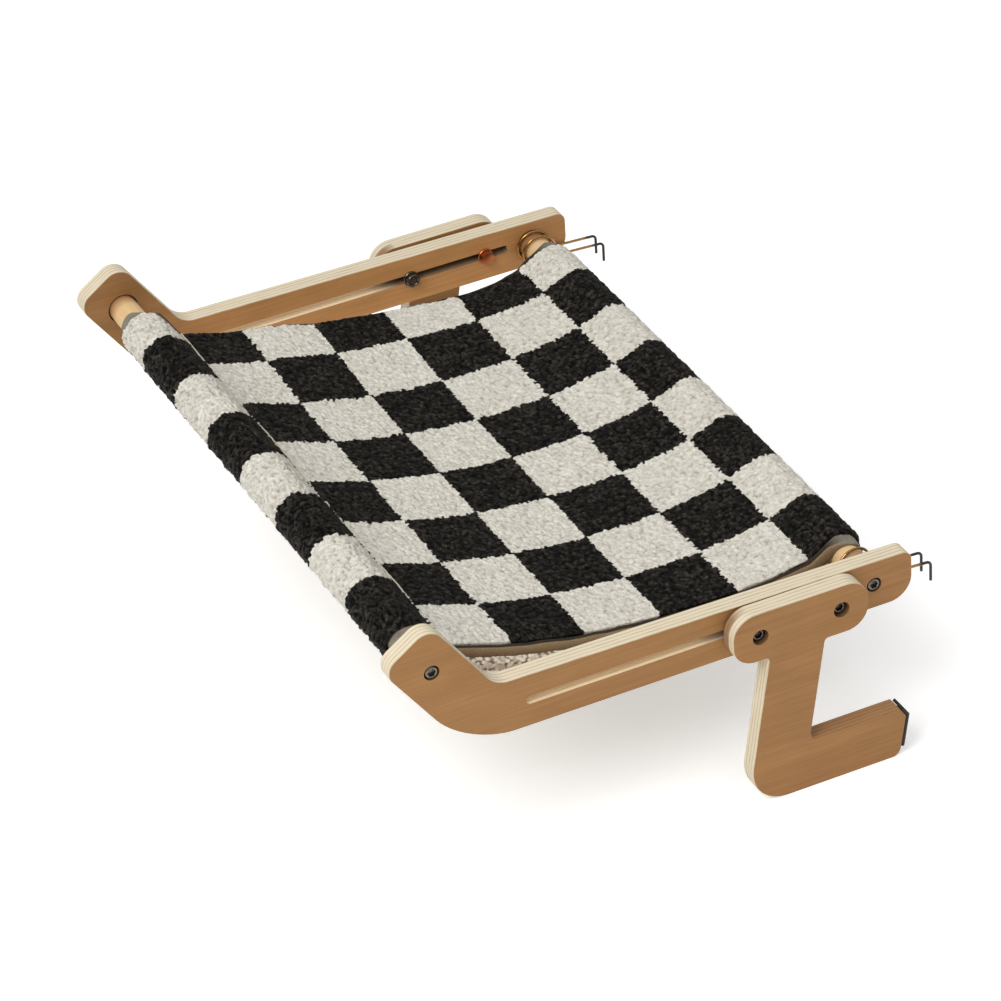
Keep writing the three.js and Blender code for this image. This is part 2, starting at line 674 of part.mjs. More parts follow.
[['left', 1, LEFT_BRACKET_SETBACK], ['right', -1, RIGHT_BRACKET_SETBACK]].forEach(([name, side, setback]) => {
  place(perch, `${name}_rail`, railGeometry(side), plywood());
  place(perch, `${name}_mat_binding`, bindingGeometry(side), tape());

  const hook = onSide(side, wireGeometry(hookPath, WIRE_DIAMETER, WIRE_SIDES));
  place(perch, `${name}_spring_hook`, hook, bronzeWire());

  [['front', frontAxis], ['rear', rearAxis]].forEach(([end, axis]) => {
    const headOuter = railOuter - SEAT_GAP / 2;
    const tip = railInner - DOWEL_BOLT_GRIP;
    const bolt = boltGeometry(side, DOWEL_BOLT_HEAD, DOWEL_BOLT_HEAD_HEIGHT, headOuter, tip);
    place(perch, `${end}_${name}_dowel_bolt`, bolt, darkSteel(), axis.x, axis.y);
    place(perch, `${end}_${name}_dowel_insert`, insertGeometry(side), zincSteel(), axis.x, axis.y);
  });

  const clamp = new THREE.Group();
  clamp.position.x = -setback;
  perch.add(clamp);
  place(clamp, `${name}_clamp_bracket`, bracketGeometry(side), plywood());
  place(clamp, `${name}_wall_pad`, padGeometry(side), blackRubber());
  [['front', -1], ['rear', 1]].forEach(([end, way]) => {
    const x = way * bracketBoltSpacing / 2;
    const headOuter = bracketOuter - CLAMP_RECESS_DEPTH + CLAMP_HEAD_HEIGHT + SEAT_GAP;
    const tip = railInner - NUT_HEIGHT + SEAT_GAP;
    const bolt = boltGeometry(side, CLAMP_HEAD, CLAMP_HEAD_HEIGHT, headOuter, tip);
    place(clamp, `${name}_${end}_clamp_bolt`, bolt, darkSteel(), x, SLOT_HEIGHT_ABOVE_SILL);
    place(clamp, `${name}_${end}_clamp_nut`, nutGeometry(side), darkSteel(), x, SLOT_HEIGHT_ABOVE_SILL);
    place(clamp, `${name}_${end}_clamp_washer`, washerGeometry(side), zincSteel(), x, SLOT_HEIGHT_ABOVE_SILL);
  });
});

export default perch;
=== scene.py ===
import math

import bmesh
import bpy
import numpy as np
from mathutils import Matrix, Vector


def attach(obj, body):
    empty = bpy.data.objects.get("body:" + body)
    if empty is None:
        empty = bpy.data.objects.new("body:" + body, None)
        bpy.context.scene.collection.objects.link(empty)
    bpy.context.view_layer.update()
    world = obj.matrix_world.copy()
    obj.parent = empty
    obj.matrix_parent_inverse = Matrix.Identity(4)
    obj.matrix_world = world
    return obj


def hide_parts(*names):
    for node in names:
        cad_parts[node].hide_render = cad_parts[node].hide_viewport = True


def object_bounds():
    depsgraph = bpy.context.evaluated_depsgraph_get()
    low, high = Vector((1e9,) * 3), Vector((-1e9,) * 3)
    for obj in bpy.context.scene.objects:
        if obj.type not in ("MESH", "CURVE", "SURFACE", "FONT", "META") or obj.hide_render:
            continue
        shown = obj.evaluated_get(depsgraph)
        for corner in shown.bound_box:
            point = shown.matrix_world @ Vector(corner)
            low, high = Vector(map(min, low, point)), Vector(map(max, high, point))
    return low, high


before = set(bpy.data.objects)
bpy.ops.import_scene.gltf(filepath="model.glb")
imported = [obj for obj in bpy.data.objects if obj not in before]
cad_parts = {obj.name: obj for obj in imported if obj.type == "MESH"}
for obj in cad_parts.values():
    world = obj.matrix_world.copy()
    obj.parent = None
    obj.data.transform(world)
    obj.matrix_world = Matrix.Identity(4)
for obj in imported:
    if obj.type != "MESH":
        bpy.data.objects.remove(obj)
cad_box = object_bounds()


# The photograph's view, studio and floor
# A long lens looks down from in front of the right rail's arm, turned a few degrees to the right.
# The floor is pale card that the brackets' feet stand on, under a soft lamp from the upper left.

EYE = Vector((-1.17494, -2.30130, 1.71117))
HEADING = math.radians(-24.357)
LOOK_DOWN = math.radians(34.310)
ROLL = math.radians(-3.641)
LENS = 177.87
FLOOR_HEIGHT = cad_box[0][2]
FLOOR_HALF = 3.0
FLOOR_CARD = "FAFAFA"
FLOOR_GLOW = 0.3
ROOM_LIGHT_LOW = 0.22
ROOM_LIGHT_HIGH = 0.78
LAMP_PLACE = Vector((-1.5, -0.85, 1.9))
LAMP_TARGET = Vector((-0.12, 0.0, 0.0))
LAMP_SIZE = 1.3
LAMP_POWER = 34.0


def linear(colour):
    """Turns an sRGB hex colour into linear red, green, blue and alpha."""
    shares = [int(colour[i:i + 2], 16) / 255 for i in (0, 2, 4)]
    return [s / 12.92 if s <= 0.04045 else ((s + 0.055) / 1.055) ** 2.4 for s in shares] + [1.0]


def add_node(material, kind, sockets, **settings):
    """Adds a node, with its settings, and a value or a link for each named or numbered socket."""
    made = material.node_tree.nodes.new(kind)
    for name, value in settings.items():
        setattr(made, name, value)
    for name, value in sockets.items():
        if isinstance(value, bpy.types.NodeSocket):
            material.node_tree.links.new(value, made.inputs[name])
        else:
            made.inputs[name].default_value = value
    return made


def new_material(name):
    """Makes a material that holds only its output node."""
    material = bpy.data.materials.new(name)
    material.use_nodes = True
    material.node_tree.nodes.clear()
    material.node_tree.nodes.new("ShaderNodeOutputMaterial")
    return material


def show(material, shader):
    """Links a finished shader to its material's output."""
    output = material.node_tree.nodes["Material Output"]
    material.node_tree.links.new(shader.outputs[0], output.inputs["Surface"])


def piece_from(shape, name, *materials):
    """Turns a finished bmesh into an object at the origin, with its materials."""
    mesh = bpy.data.meshes.new(name)
    shape.to_mesh(mesh)
    shape.free()
    piece = bpy.data.objects.new(name, mesh)
    bpy.context.scene.collection.objects.link(piece)
    for material in materials:
        mesh.materials.append(material)
    return piece


camera = bpy.data.objects.new("camera", bpy.data.cameras.new("camera"))
camera.data.lens = LENS
camera.data.sensor_width = 36.0
camera.data.clip_end = 20.0
turn = Matrix.Rotation(HEADING, 4, "Z") @ Matrix.Rotation(math.pi / 2 - LOOK_DOWN, 4, "X")
camera.matrix_world = Matrix.Translation(EYE) @ turn @ Matrix.Rotation(ROLL, 4, "Z")
bpy.context.scene.collection.objects.link(camera)
bpy.context.scene.camera = camera
bpy.context.scene.view_settings.view_transform = "Standard"

# Pale card: matte, with a faint glow that only the camera and reflections see, so that it stays white
card = new_material("pale_card")
rays = add_node(card, "ShaderNodeLightPath", {})
seen = add_node(card, "ShaderNodeMath", {
    0: rays.outputs["Is Camera Ray"], 1: rays.outputs["Is Glossy Ray"]}, operation="ADD")
matte = add_node(card, "ShaderNodeBsdfDiffuse", {"Color": linear(FLOOR_CARD)})
glow = add_node(card, "ShaderNodeEmission", {"Color": linear("FFFFFF"), "Strength": FLOOR_GLOW})
lit = add_node(card, "ShaderNodeAddShader", {0: matte.outputs[0], 1: glow.outputs[0]})
show(card, add_node(card, "ShaderNodeMixShader", {
    0: seen.outputs[0], 1: matte.outputs[0], 2: lit.outputs[0]}))

floor_shape = bmesh.new()
bmesh.ops.create_grid(floor_shape, x_segments=1, y_segments=1, size=FLOOR_HALF)
bmesh.ops.translate(floor_shape, verts=floor_shape.verts, vec=(0, 0, FLOOR_HEIGHT))
floor = piece_from(floor_shape, "floor", card)

world = bpy.data.worlds.new("studio")
bpy.context.scene.world = world
world.use_nodes = True
world.node_tree.nodes.clear()
sky_rays = add_node(world, "ShaderNodeLightPath", {})
shown = add_node(world, "ShaderNodeMath", {
    0: sky_rays.outputs["Is Camera Ray"], 1: sky_rays.outputs["Is Transmission Ray"]}, operation="ADD")
# The room is lighter overhead than at its walls, which gives metal its contrast
sky_way = add_node(world, "ShaderNodeTexCoord", {})
sky_apart = add_node(world, "ShaderNodeSeparateXYZ", {0: sky_way.outputs["Generated"]})
room = add_node(world, "ShaderNodeMapRange", {
    "Value": sky_apart.outputs["Z"], "From Min": -0.1, "From Max": 0.9,
    "To Min": ROOM_LIGHT_LOW, "To Max": ROOM_LIGHT_HIGH})
strength = add_node(world, "ShaderNodeMix", {
    0: shown.outputs[0], 2: room.outputs[0], 3: 1.0}, data_type="FLOAT")
sky = add_node(world, "ShaderNodeBackground", {"Color": linear("FFFFFF"), "Strength": strength.outputs[0]})
add_node(world, "ShaderNodeOutputWorld", {"Surface": sky.outputs[0]})

lamp = bpy.data.objects.new("soft_lamp", bpy.data.lights.new("soft_lamp", "AREA"))
lamp.data.size = LAMP_SIZE
lamp.data.energy = LAMP_POWER
lamp.location = LAMP_PLACE
lamp.rotation_euler = (LAMP_TARGET - LAMP_PLACE).to_track_quat("-Z", "Y").to_euler()
bpy.context.scene.collection.objects.link(lamp)


# Side rails
# Two bars of birch plywood, 12 mm thick, cut and sanded to a bent outline with a long slot, and faced with
# a tan veneer under clear lacquer. Each has a shallow seat for each dowel inside and a recess for its bolt
# outside.

MM = 0.001
RAIL_THICKNESS = 12 * MM
RAIL_INNER = 219 * MM
RAIL_OUTER = RAIL_INNER + RAIL_THICKNESS
ARM_ANGLE = math.radians(55.2)
ARM_WIDTH = 37.6 * MM
ARM_OVERHANG = 25.5 * MM
RAIL_HEIGHT = 32.4 * MM
BEND_HEIGHT = 36 * MM
REAR_OVERHANG = 25.5 * MM
REAR_AXIS = Vector((0, 0, 16.5 * MM))
FRONT_AXIS = Vector((-287 * MM, 0, 59.5 * MM))
SLOT_HEIGHT = 18 * MM
SLOT_REAR = -17 * MM
SLOT_LENGTH = 212.5 * MM
BOLT_HOLE = 5.6 * MM
SEAT_DIAMETER = 20 * MM
SEAT_DEPTH = 4 * MM
HEAD_HOLE = 9.8 * MM
HEAD_HOLE_DEPTH = 4.3 * MM
EDGE_ROUNDING = 0.5 * MM
ARC_STEPS = 14
PLY_PITCH = 1.45 * MM
SANDED_PLIES = ("D5C7AB", "E9DCC1", "A18E69")
BROWN_TINT_STRENGTH = 0.85


def unit_scale(size):
    """Scale of a pattern whose features are to be this many metres across."""
    return 1.0 / size


def object_place(material):
    """Where a point lies on the perch, in metres."""
    return add_node(material, "ShaderNodeTexCoord", {}).outputs["Object"]


def stretched(material, place, sizes):
    """Place on a pattern whose features are this many metres across, one size for each axis."""
    scale = [unit_scale(size) for size in sizes]
    return add_node(material, "ShaderNodeMapping", {"Vector": place, "Scale": scale}).outputs[0]


def noise(material, place, size, detail, roughness=0.5, distortion=0.0):
    """Cloudy noise, mostly between 0.3 and 0.7, whose features are this many metres across."""
    made = add_node(material, "ShaderNodeTexNoise", {
        "Vector": place, "Scale": unit_scale(size), "Detail": detail, "Roughness": roughness,
        "Distortion": distortion})
    return made.outputs["Fac"]


def ranged(material, value, low=0.0, high=1.0, to_low=0.0, to_high=1.0):
    """Moves the values between low and high to those between to_low and to_high."""
    made = add_node(material, "ShaderNodeMapRange", {
        "Value": value, "From Min": low, "From Max": high, "To Min": to_low, "To Max": to_high})
    return made.outputs[0]


def worked_out(material, operation, *values):
    """Result of one sum on values."""
    made = add_node(material, "ShaderNodeMath", dict(enumerate(values)), operation=operation)
    return made.outputs[0]


def mixed(material, share, low, high):
    """Blend of two colours, from the first at share 0 to the second at share 1."""
    low, high = (linear(colour) if isinstance(colour, str) else colour for colour in (low, high))
    return add_node(material, "ShaderNodeMix", {0: share, 6: low, 7: high}, data_type="RGBA").outputs[2]


def lightened(material, colour, factor):
    """Colour made lighter or darker by a factor."""
    made = add_node(material, "ShaderNodeVectorMath", {0: colour, "Scale": factor}, operation="SCALE")
    return made.outputs[0]


def bumps(material, height, distance, strength):
    """Fine relief that a height gives the surface."""
    made = add_node(material, "ShaderNodeBump", {
        "Height": height, "Distance": distance, "Strength": strength})
    return made.outputs[0]


def finish(material, sockets):
    """Gives a material its surface."""
    show(material, add_node(material, "ShaderNodeBsdfPrincipled", sockets))


def ply_face(name, pale, tan, deep, light=()):
    """Lacquered veneer: satin, with fine darker streaks and clouds, and painted light that makes it lighter
    or darker in ranges of x.
    """
    material = new_material(name)
    place = object_place(material)
    # Streaks 45 mm long and 1.6 mm wide, drawn a little wider than real pores so that they show
    along = stretched(material, place, (45 * MM, 1.0, 1.6 * MM))
    streaks = noise(material, along, 1.0, 5.0, roughness=0.62, distortion=0.25)
    # Broad growth bands 9 mm apart that wander along the board
    bands_at = stretched(material, place, (160 * MM, 1.0, 9 * MM))
    bands = noise(material, bands_at, 1.0, 2.0, distortion=0.8)
    cloud = noise(material, place, 30 * MM, 3.0)
    streak_tone = ranged(material, streaks, 0.36, 0.66)
    band_tone = ranged(material, bands, 0.3, 0.7)
    ground = mixed(material, band_tone, tan, pale)
    streaked = mixed(material, streak_tone, deep, ground)
    softened = mixed(material, 0.38, ground, streaked)
    cloud_tone = ranged(material, cloud, 0.3, 0.7, 0.94, 1.05)
    final = lightened(material, softened, cloud_tone)
    for start, end, low, high in light:
        apart = add_node(material, "ShaderNodeSeparateXYZ", {0: place})
        share = ranged(material, apart.outputs["X"], start, end, low, high)
        final = lightened(material, final, share)
    rough = ranged(material, streaks, to_low=0.55, to_high=0.66)
    relief = bumps(material, streaks, 0.05 * MM, 0.5)
    finish(material, {"Base Color": final, "Roughness": rough, "Normal": relief, "IOR": 1.42})
    return material


def ply_edge(name, mid_plane, pale, bright, line, stain=None, ranges=()):
    """Sanded plywood edge: matte, in pale plies and thin darker ones, tinted brown within ranges along axes.
    """
    material = new_material(name)
    place = object_place(material)
    apart = add_node(material, "ShaderNodeSeparateXYZ", {0: place})
    depth = worked_out(material, "ABSOLUTE", apart.outputs["Y"])
    # Plies wander a little along the board, and their strength changes every few centimetres
    long_way = stretched(material, place, (26 * MM, 5 * MM, 26 * MM))
    wander = noise(material, long_way, 1.0, 3.0)
    drift = ranged(material, wander, to_low=-0.45, to_high=0.45)
    from_middle = worked_out(material, "ADD", depth, -mid_plane)
    plies = worked_out(material, "MULTIPLY", from_middle, unit_scale(PLY_PITCH))
    shifted = worked_out(material, "ADD", plies, drift)
    folded = worked_out(material, "PINGPONG", shifted, 1.0)
    fibre_at = stretched(material, place, (14 * MM, 0.35 * MM, 14 * MM))
    fibre = noise(material, fibre_at, 1.0, 4.0)
    glue = ranged(material, folded, 0.05, 0.42, 1.0, 0.0)
    uneven = ranged(material, fibre, 0.35, 0.65, 0.15, 1.0)
    tint = worked_out(material, "MULTIPLY", glue, uneven)
    plain = mixed(material, fibre, pale, bright)
    banded = mixed(material, tint, plain, line)
    # A brown tint, where one is given, is painted shade on the slot's walls and a plain brown half on the
    # plate's front end
    if stain:
        share = add_node(material, "ShaderNodeValue", {}).outputs[0]
        share.default_value = BROWN_TINT_STRENGTH
        for axis, start, end in ranges:
            along = worked_out(material, "ABSOLUTE", apart.outputs[axis])
            within = ranged(material, along, start, end)
            share = worked_out(material, "MULTIPLY", share, within)
        banded = mixed(material, share, banded, stain)
    relief = bumps(material, fibre, 0.08 * MM, 0.5)
    finish(material, {"Base Color": banded, "Roughness": 0.6, "Normal": relief, "IOR": 1.5})
    return material


def rims(shape):
    """Edges round the two flat ends of a shape that lies across the perch."""
    return [e for e in shape.edges if sum(abs(f.normal.y) > 0.9 for f in e.link_faces) == 1]


def round_off(shape, edges, offset, segments=3):
    """Rounds edges, starting this far from each."""
    bmesh.ops.bevel(shape, geom=edges, offset=offset, offset_type="OFFSET", segments=segments,
                    profile=0.5, affect="EDGES", material=-1, clamp_overlap=False)


def plank(corners, low, high, rounding=EDGE_ROUNDING):
    """Board between two planes across the perch, from corners given as x, z and radius."""
    shape = bmesh.new()
    outline = shape.faces.new([shape.verts.new((x, low, z)) for x, z, radius in corners])
    raised = bmesh.ops.extrude_face_region(shape, geom=[outline])["geom"]
    moved = [item for item in raised if isinstance(item, bmesh.types.BMVert)]
    bmesh.ops.translate(shape, verts=moved, vec=(0, high - low, 0))
    bmesh.ops.recalc_face_normals(shape, faces=shape.faces)
    for x, z, radius in corners:
        edge = next(e for e in shape.edges if all(
            math.hypot(v.co.x - x, v.co.z - z) < 1e-6 for v in e.verts))
        round_off(shape, [edge], radius * math.tan(edge.calc_face_angle() / 2), ARC_STEPS)
    bmesh.ops.remove_doubles(shape, verts=shape.verts, dist=0.01 * MM)
    if rounding > 0:
        round_off(shape, rims(shape), rounding)
    return shape


def rod(shape, centre, diameter, low, high, segments=48):
    """Adds a closed round bar that lies across the perch."""
    made = bmesh.ops.create_cone(shape, cap_ends=True, segments=segments, depth=high - low,
                                 radius1=diameter / 2, radius2=diameter / 2)["verts"]
    bmesh.ops.rotate(shape, verts=made, cent=(0, 0, 0), matrix=Matrix.Rotation(math.pi / 2, 3, "X"))
    bmesh.ops.translate(shape, verts=made, vec=(centre.x, (low + high) / 2, centre.z))


def cut_away(piece, cutter_shape):
    """Cuts a closed shape out of a piece."""
    cutter = piece_from(cutter_shape, "cutter")
    cut = piece.modifiers.new("cut", "BOOLEAN")
    cut.operation = "DIFFERENCE"
    cut.solver = "EXACT"
    cut.object = cutter
    solid = bpy.data.meshes.new_from_object(piece.evaluated_get(bpy.context.evaluated_depsgraph_get()))
    piece.modifiers.clear()
    piece.data = solid
    bpy.data.objects.remove(cutter)


def smooth_over(piece, angle=40):
    """Shades a piece smooth, but sharp where its faces meet at more than this many degrees."""
    piece.data.polygons.foreach_set("use_smooth", [True] * len(piece.data.polygons))
    piece.data.set_sharp_from_angle(angle=math.radians(angle))
    weighted = piece.modifiers.new("even_shading", "WEIGHTED_NORMAL")
    weighted.keep_sharp = True


def split_faces(piece, low, high, edge_kind):
    """Gives a board's flat faces its first material, and edges and holes the one edge_kind numbers."""
    for face in piece.data.polygons:
        away = min(abs(face.center.y - low), abs(face.center.y - high))
        on_face = abs(face.normal.y) > 0.75 and away < 0.2 * MM
        face.material_index = 0 if on_face else edge_kind(face)


def near_axis(face, axis, reach):
    """Whether a face lies within a reach of an axis across the perch."""
    return math.hypot(face.center.x - axis.x, face.center.z - axis.z) < reach


def rail_edge_kind(face):
    """1 for the sanded outline, 2 for the slot's walls and 3 for the bored holes."""
    seat_reach = SEAT_DIAMETER / 2 + 0.2 * MM
    if near_axis(face, FRONT_AXIS, seat_reach) or near_axis(face, REAR_AXIS, seat_reach):
        return 3
    along_slot = SLOT_REAR - SLOT_LENGTH < face.center.x + 0.1 * MM < SLOT_REAR
    return 2 if along_slot and abs(face.center.z - SLOT_HEIGHT) < BOLT_HOLE else 1


def arm_corners():
    """Corners of a rail's outline, from its rear end round to the bend's outside."""
    along = Vector((-math.cos(ARM_ANGLE), 0, math.sin(ARM_ANGLE)))
    across = Vector((-math.sin(ARM_ANGLE), 0, -math.cos(ARM_ANGLE)))
    end = FRONT_AXIS + along * ARM_OVERHANG
    top = end - across * ARM_WIDTH / 2
    tip = end + across * ARM_WIDTH / 2
    slope = math.tan(ARM_ANGLE)
    return [
        (REAR_OVERHANG, 0, 15 * MM),
        (REAR_OVERHANG, RAIL_HEIGHT, 6.5 * MM),
        (top.x + (top.z - BEND_HEIGHT) / slope, BEND_HEIGHT, 15 * MM),
        (top.x, top.z, 11 * MM),
        (tip.x, tip.z, 10 * MM),
        (tip.x + tip.z / slope, 0, 60 * MM),
    ]


# Tan veneer under satin lacquer on every plywood face
veneer = ply_face("lacquered_tan_veneer", "AF7F4C", "A57642", "855C33")
# Painted light: the rails' inner faces are paler than the outer ones along the bar, to make up for the shade
# that the mat casts on them, and darker at the arm and towards the rear end as painted shade
inner_veneer = ply_face("inner_veneer_painted_light", "B08050", "A67744", "865D35", [
    (-285 * MM, -232 * MM, 0.82, 1.3), (-200 * MM, -60 * MM, 1.0, 1.18), (-20 * MM, 10 * MM, 1.0, 0.8)])
rail_middle = (RAIL_INNER + RAIL_OUTER) / 2
# The sawn and sanded outline shows the plies as pale stripes
rail_edge = ply_edge("sanded_rail_plies", rail_middle, *SANDED_PLIES)
# Painted light: the slot's walls are paler than the outline, as if lit through the slot, and painted shade
# browns them towards the rear, behind the bracket
slot_walls_painted_light = ply_edge("slot_plies_painted_light_and_shade", rail_middle, "F0DAB6", "FDEDD2", "D3B78B", "6B4829", [
    ("X", 116 * MM, 96 * MM)])
# Painted shade: the bored holes are dark brown, so that dark rings show round the bolts and the dowels
hole_walls_painted_shade = ply_edge("bored_plies_painted_shade", rail_middle, "6E4E31", "80603F", "4A321D")

for side_name, side in (("left", 1), ("right", -1)):
    low, high = sorted((side * RAIL_INNER, side * RAIL_OUTER))
    rail = piece_from(plank(arm_corners(), low, high), f"{side_name}_side_rail",
                      veneer, rail_edge, slot_walls_painted_light, hole_walls_painted_shade, inner_veneer)
    half = BOLT_HOLE / 2
    front = SLOT_REAR - SLOT_LENGTH
    slot_top = SLOT_HEIGHT + half
    slot_foot = SLOT_HEIGHT - half
    slot_corners = [(x, z, half * 0.99) for x, z in (
        (SLOT_REAR, slot_foot), (SLOT_REAR, slot_top), (front, slot_top), (front, slot_foot))]
    holes = plank(slot_corners, low - SEAT_DEPTH, high + SEAT_DEPTH, rounding=0)
    cut_away(rail, holes)
    seats = bmesh.new()
    inside, outside = side * RAIL_INNER, side * RAIL_OUTER
    seat_span = sorted((inside - side * SEAT_DEPTH, inside + side * SEAT_DEPTH))
    head_span = sorted((outside - side * HEAD_HOLE_DEPTH, outside + side * SEAT_DEPTH))
    for axis in (FRONT_AXIS, REAR_AXIS):
        rod(seats, axis, SEAT_DIAMETER, *seat_span, segments=64)
        rod(seats, axis, HEAD_HOLE, *head_span)
    cut_away(rail, seats)
    split_faces(rail, low, high, rail_edge_kind)
    # The inner faces take the veneer with painted light
    for face in rail.data.polygons:
        if face.material_index == 0 and abs(face.center.y - inside) < 0.2 * MM:
            face.material_index = 4
    smooth_over(rail)
    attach(rail, "frame")
    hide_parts(f"{side_name}_rail")


# Dowels
# Two turned rods of pale beech, 18 mm across, sanded smooth and left bare. Their ends sit in the rails'
# shallow seats, and a threaded insert in each end takes the bolt. Only the ends beside the mat show.

DOWEL_DIAMETER = 18 * MM
DOWEL_END = RAIL_INNER + 3.7 * MM


def beech_wood(name, shade_and_stain_start, shade_and_stain_end):
    """Bare beech, browned towards the rails: partly a stain where the finish has crept along it, and partly
    painted shade where the rails and the mat shade its ends.
    """
    material = new_material(name)
    place = object_place(material)
    # Grain 30 mm long and 0.8 mm wide along the rod
    way = stretched(material, place, (0.8 * MM, 30 * MM, 0.8 * MM))
    grain = noise(material, way, 1.0, 4.0)
    bare = mixed(material, grain, "D6AE78", "EBCD9E")
    apart = add_node(material, "ShaderNodeSeparateXYZ", {0: place})
    along = worked_out(material, "ABSOLUTE", apart.outputs["Y"])
    # Painted shade and stain together darken the ends next to the rails
    stained = ranged(material, along, shade_and_stain_start, shade_and_stain_end, to_high=0.85)
    colour = mixed(material, stained, bare, "8A5A30")
    relief = bumps(material, grain, 0.05 * MM, 0.4)
    finish(material, {"Base Color": colour, "Roughness": 0.5, "Normal": relief, "IOR": 1.5})
    return material


for end_name, axis, shade_and_stain_start, shade_and_stain_end in (
        ("front", FRONT_AXIS, 209 * MM, 219 * MM), ("rear", REAR_AXIS, 205 * MM, 211 * MM)):
    dowel_shape = bmesh.new()
    rod(dowel_shape, axis, DOWEL_DIAMETER, -DOWEL_END, DOWEL_END, segments=72)
    round_off(dowel_shape, rims(dowel_shape), 1 * MM)
    wood = beech_wood(f"bare_beech_{end_name}", shade_and_stain_start, shade_and_stain_end)
    dowel = piece_from(dowel_shape, f"{end_name}_rod", wood)
    smooth_over(dowel)
    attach(dowel, "frame")
    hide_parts(f"{end_name}_dowel")


# Clamp brackets
# One plywood piece on each side: a round-ended plate bolted to the rail through its slot, a leaning leg and
# a foot that reaches under the sill to the wall. Thin washers hold it 2 mm off its rail, and it slides along
# the slot.

BRACKET_INNER = RAIL_OUTER + 2 * MM
BRACKET_OUTER = BRACKET_INNER + 12 * MM
PLATE_HALF = 45 * MM
PLATE_TOP = SLOT_HEIGHT + 16.75 * MM
PLATE_FOOT = SLOT_HEIGHT - 16.75 * MM
LEG_LEAN = math.tan(math.radians(9.5))
FOOT_TOP = -69 * MM
FOOT_BOTTOM = -103.5 * MM
FOOT_LENGTH = 67.1 * MM
TOE_RUN = 5.6 * MM
TOE_DROP = 6.6 * MM
CLAMP_SPACING = 54 * MM
CLAMP_HOLE = 10.4 * MM
CLAMP_HOLE_DEPTH = 7 * MM
BRACKET_SETBACKS = {"left": 61 * MM, "right": 56.9 * MM}


def leg_edge(z, start):
    """Where a leaning edge that leaves the plate's foot at start has come to at height z."""
    return start + (z - PLATE_FOOT) * LEG_LEAN


def toe_line(z):
    """Where the foot's leaning toe has come to at height z."""
    return leg_edge(z, PLATE_HALF - 29.3 * MM) + FOOT_LENGTH


def bracket_corners(middle):
    """Corners of a bracket's outline, from the plate's front round by the foot to its rear."""
    heel, sill_side = -PLATE_HALF + 23.7 * MM, PLATE_HALF - 29.3 * MM
    corners = [
        (-PLATE_HALF, PLATE_TOP, 14.5),
        (-PLATE_HALF, PLATE_FOOT, 14.5),
        (heel, PLATE_FOOT, 2.6),
        (leg_edge(FOOT_BOTTOM, heel), FOOT_BOTTOM, 24),
        (toe_line(FOOT_BOTTOM), FOOT_BOTTOM, 6),
        (toe_line(FOOT_TOP - TOE_DROP), FOOT_TOP - TOE_DROP, 1.5),
        (toe_line(FOOT_TOP) - TOE_RUN, FOOT_TOP, 1.5),
        (leg_edge(FOOT_TOP, sill_side), FOOT_TOP, 5),
        (sill_side, PLATE_FOOT, 2.6),
        (PLATE_HALF, PLATE_FOOT, 14.5),
        (PLATE_HALF, PLATE_TOP, 14.5),
    ]
    return [(middle + x, z, radius * MM) for x, z, radius in corners]


bracket_middle = (BRACKET_INNER + BRACKET_OUTER) / 2
# The outline is sanded to pale stripes, like the rails'
bracket_edge = ply_edge("sanded_bracket_plies", bracket_middle, *SANDED_PLIES)
# The plate's front end is brown on the half next to the rail
plate_end = ply_edge("plate_end_brown_half", bracket_middle, *SANDED_PLIES, "875B33", [
    ("Y", bracket_middle + 0.8 * MM, bracket_middle - 0.8 * MM), ("X", 88 * MM, 98 * MM)])
# The foot's upper edge, where the sill rests, is brown like the faces
sill_edge_brown = ply_edge("brown_sill_plies", bracket_middle, "9A6E44", "AC8054", "7A5530")


def bracket_edge_kind(face, middle):
    """1 for the outline, 2 for the foot's upper edge, 3 for the recesses and 4 for the plate's front."""
    off_middle = face.center.x - middle
    at_slot = abs(face.center.z - SLOT_HEIGHT) < CLAMP_HOLE / 2 and face.center.z < PLATE_TOP - 6 * MM
    if at_slot and abs(face.normal.y) < 0.5 and abs(off_middle) < PLATE_HALF - 8 * MM:
        return 3
    at_front = face.normal.x < -0.05 and off_middle < 15 * MM - PLATE_HALF
    if at_front and face.center.z > PLATE_FOOT - 1 * MM:
        return 4
    return 2 if face.normal.z > 0.3 and face.center.z < FOOT_TOP + 6 * MM else 1


for side_name, side in (("left", 1), ("right", -1)):
    middle = -BRACKET_SETBACKS[side_name]
    low, high = sorted((side * BRACKET_INNER, side * BRACKET_OUTER))
    bracket = piece_from(plank(bracket_corners(middle), low, high), f"{side_name}_bracket",
                         veneer, bracket_edge, sill_edge_brown, hole_walls_painted_shade, plate_end)
    recesses = bmesh.new()
    for way in (-1, 1):
        at = Vector((middle + way * CLAMP_SPACING / 2, 0, SLOT_HEIGHT))
        span = sorted(side * (BRACKET_OUTER + past) for past in (-CLAMP_HOLE_DEPTH, CLAMP_HOLE_DEPTH))
        rod(recesses, at, CLAMP_HOLE, *span)
    cut_away(bracket, recesses)
    split_faces(bracket, low, high, lambda face: bracket_edge_kind(face, middle))
    smooth_over(bracket)
    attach(bracket, f"{side_name}_clamp")
    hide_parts(f"{side_name}_clamp_bracket")


# Bolts, nuts, washers and inserts
# Button-headed socket bolts of steel: one into each dowel end, flush in its recess, and two sunk in each
# bracket that pass through a washer and the slot to a round nut on the rail's inner face.

BOLT_DIAMETER = 5 * MM
END_HEAD = 8.4 * MM
CLAMP_HEAD = 8.6 * MM
HEAD_HEIGHT = 4 * MM
SOCKET_ACROSS = 4.6 * MM
SOCKET_DEPTH = 2.2 * MM
HEAD_CROWN = 1.3 * MM


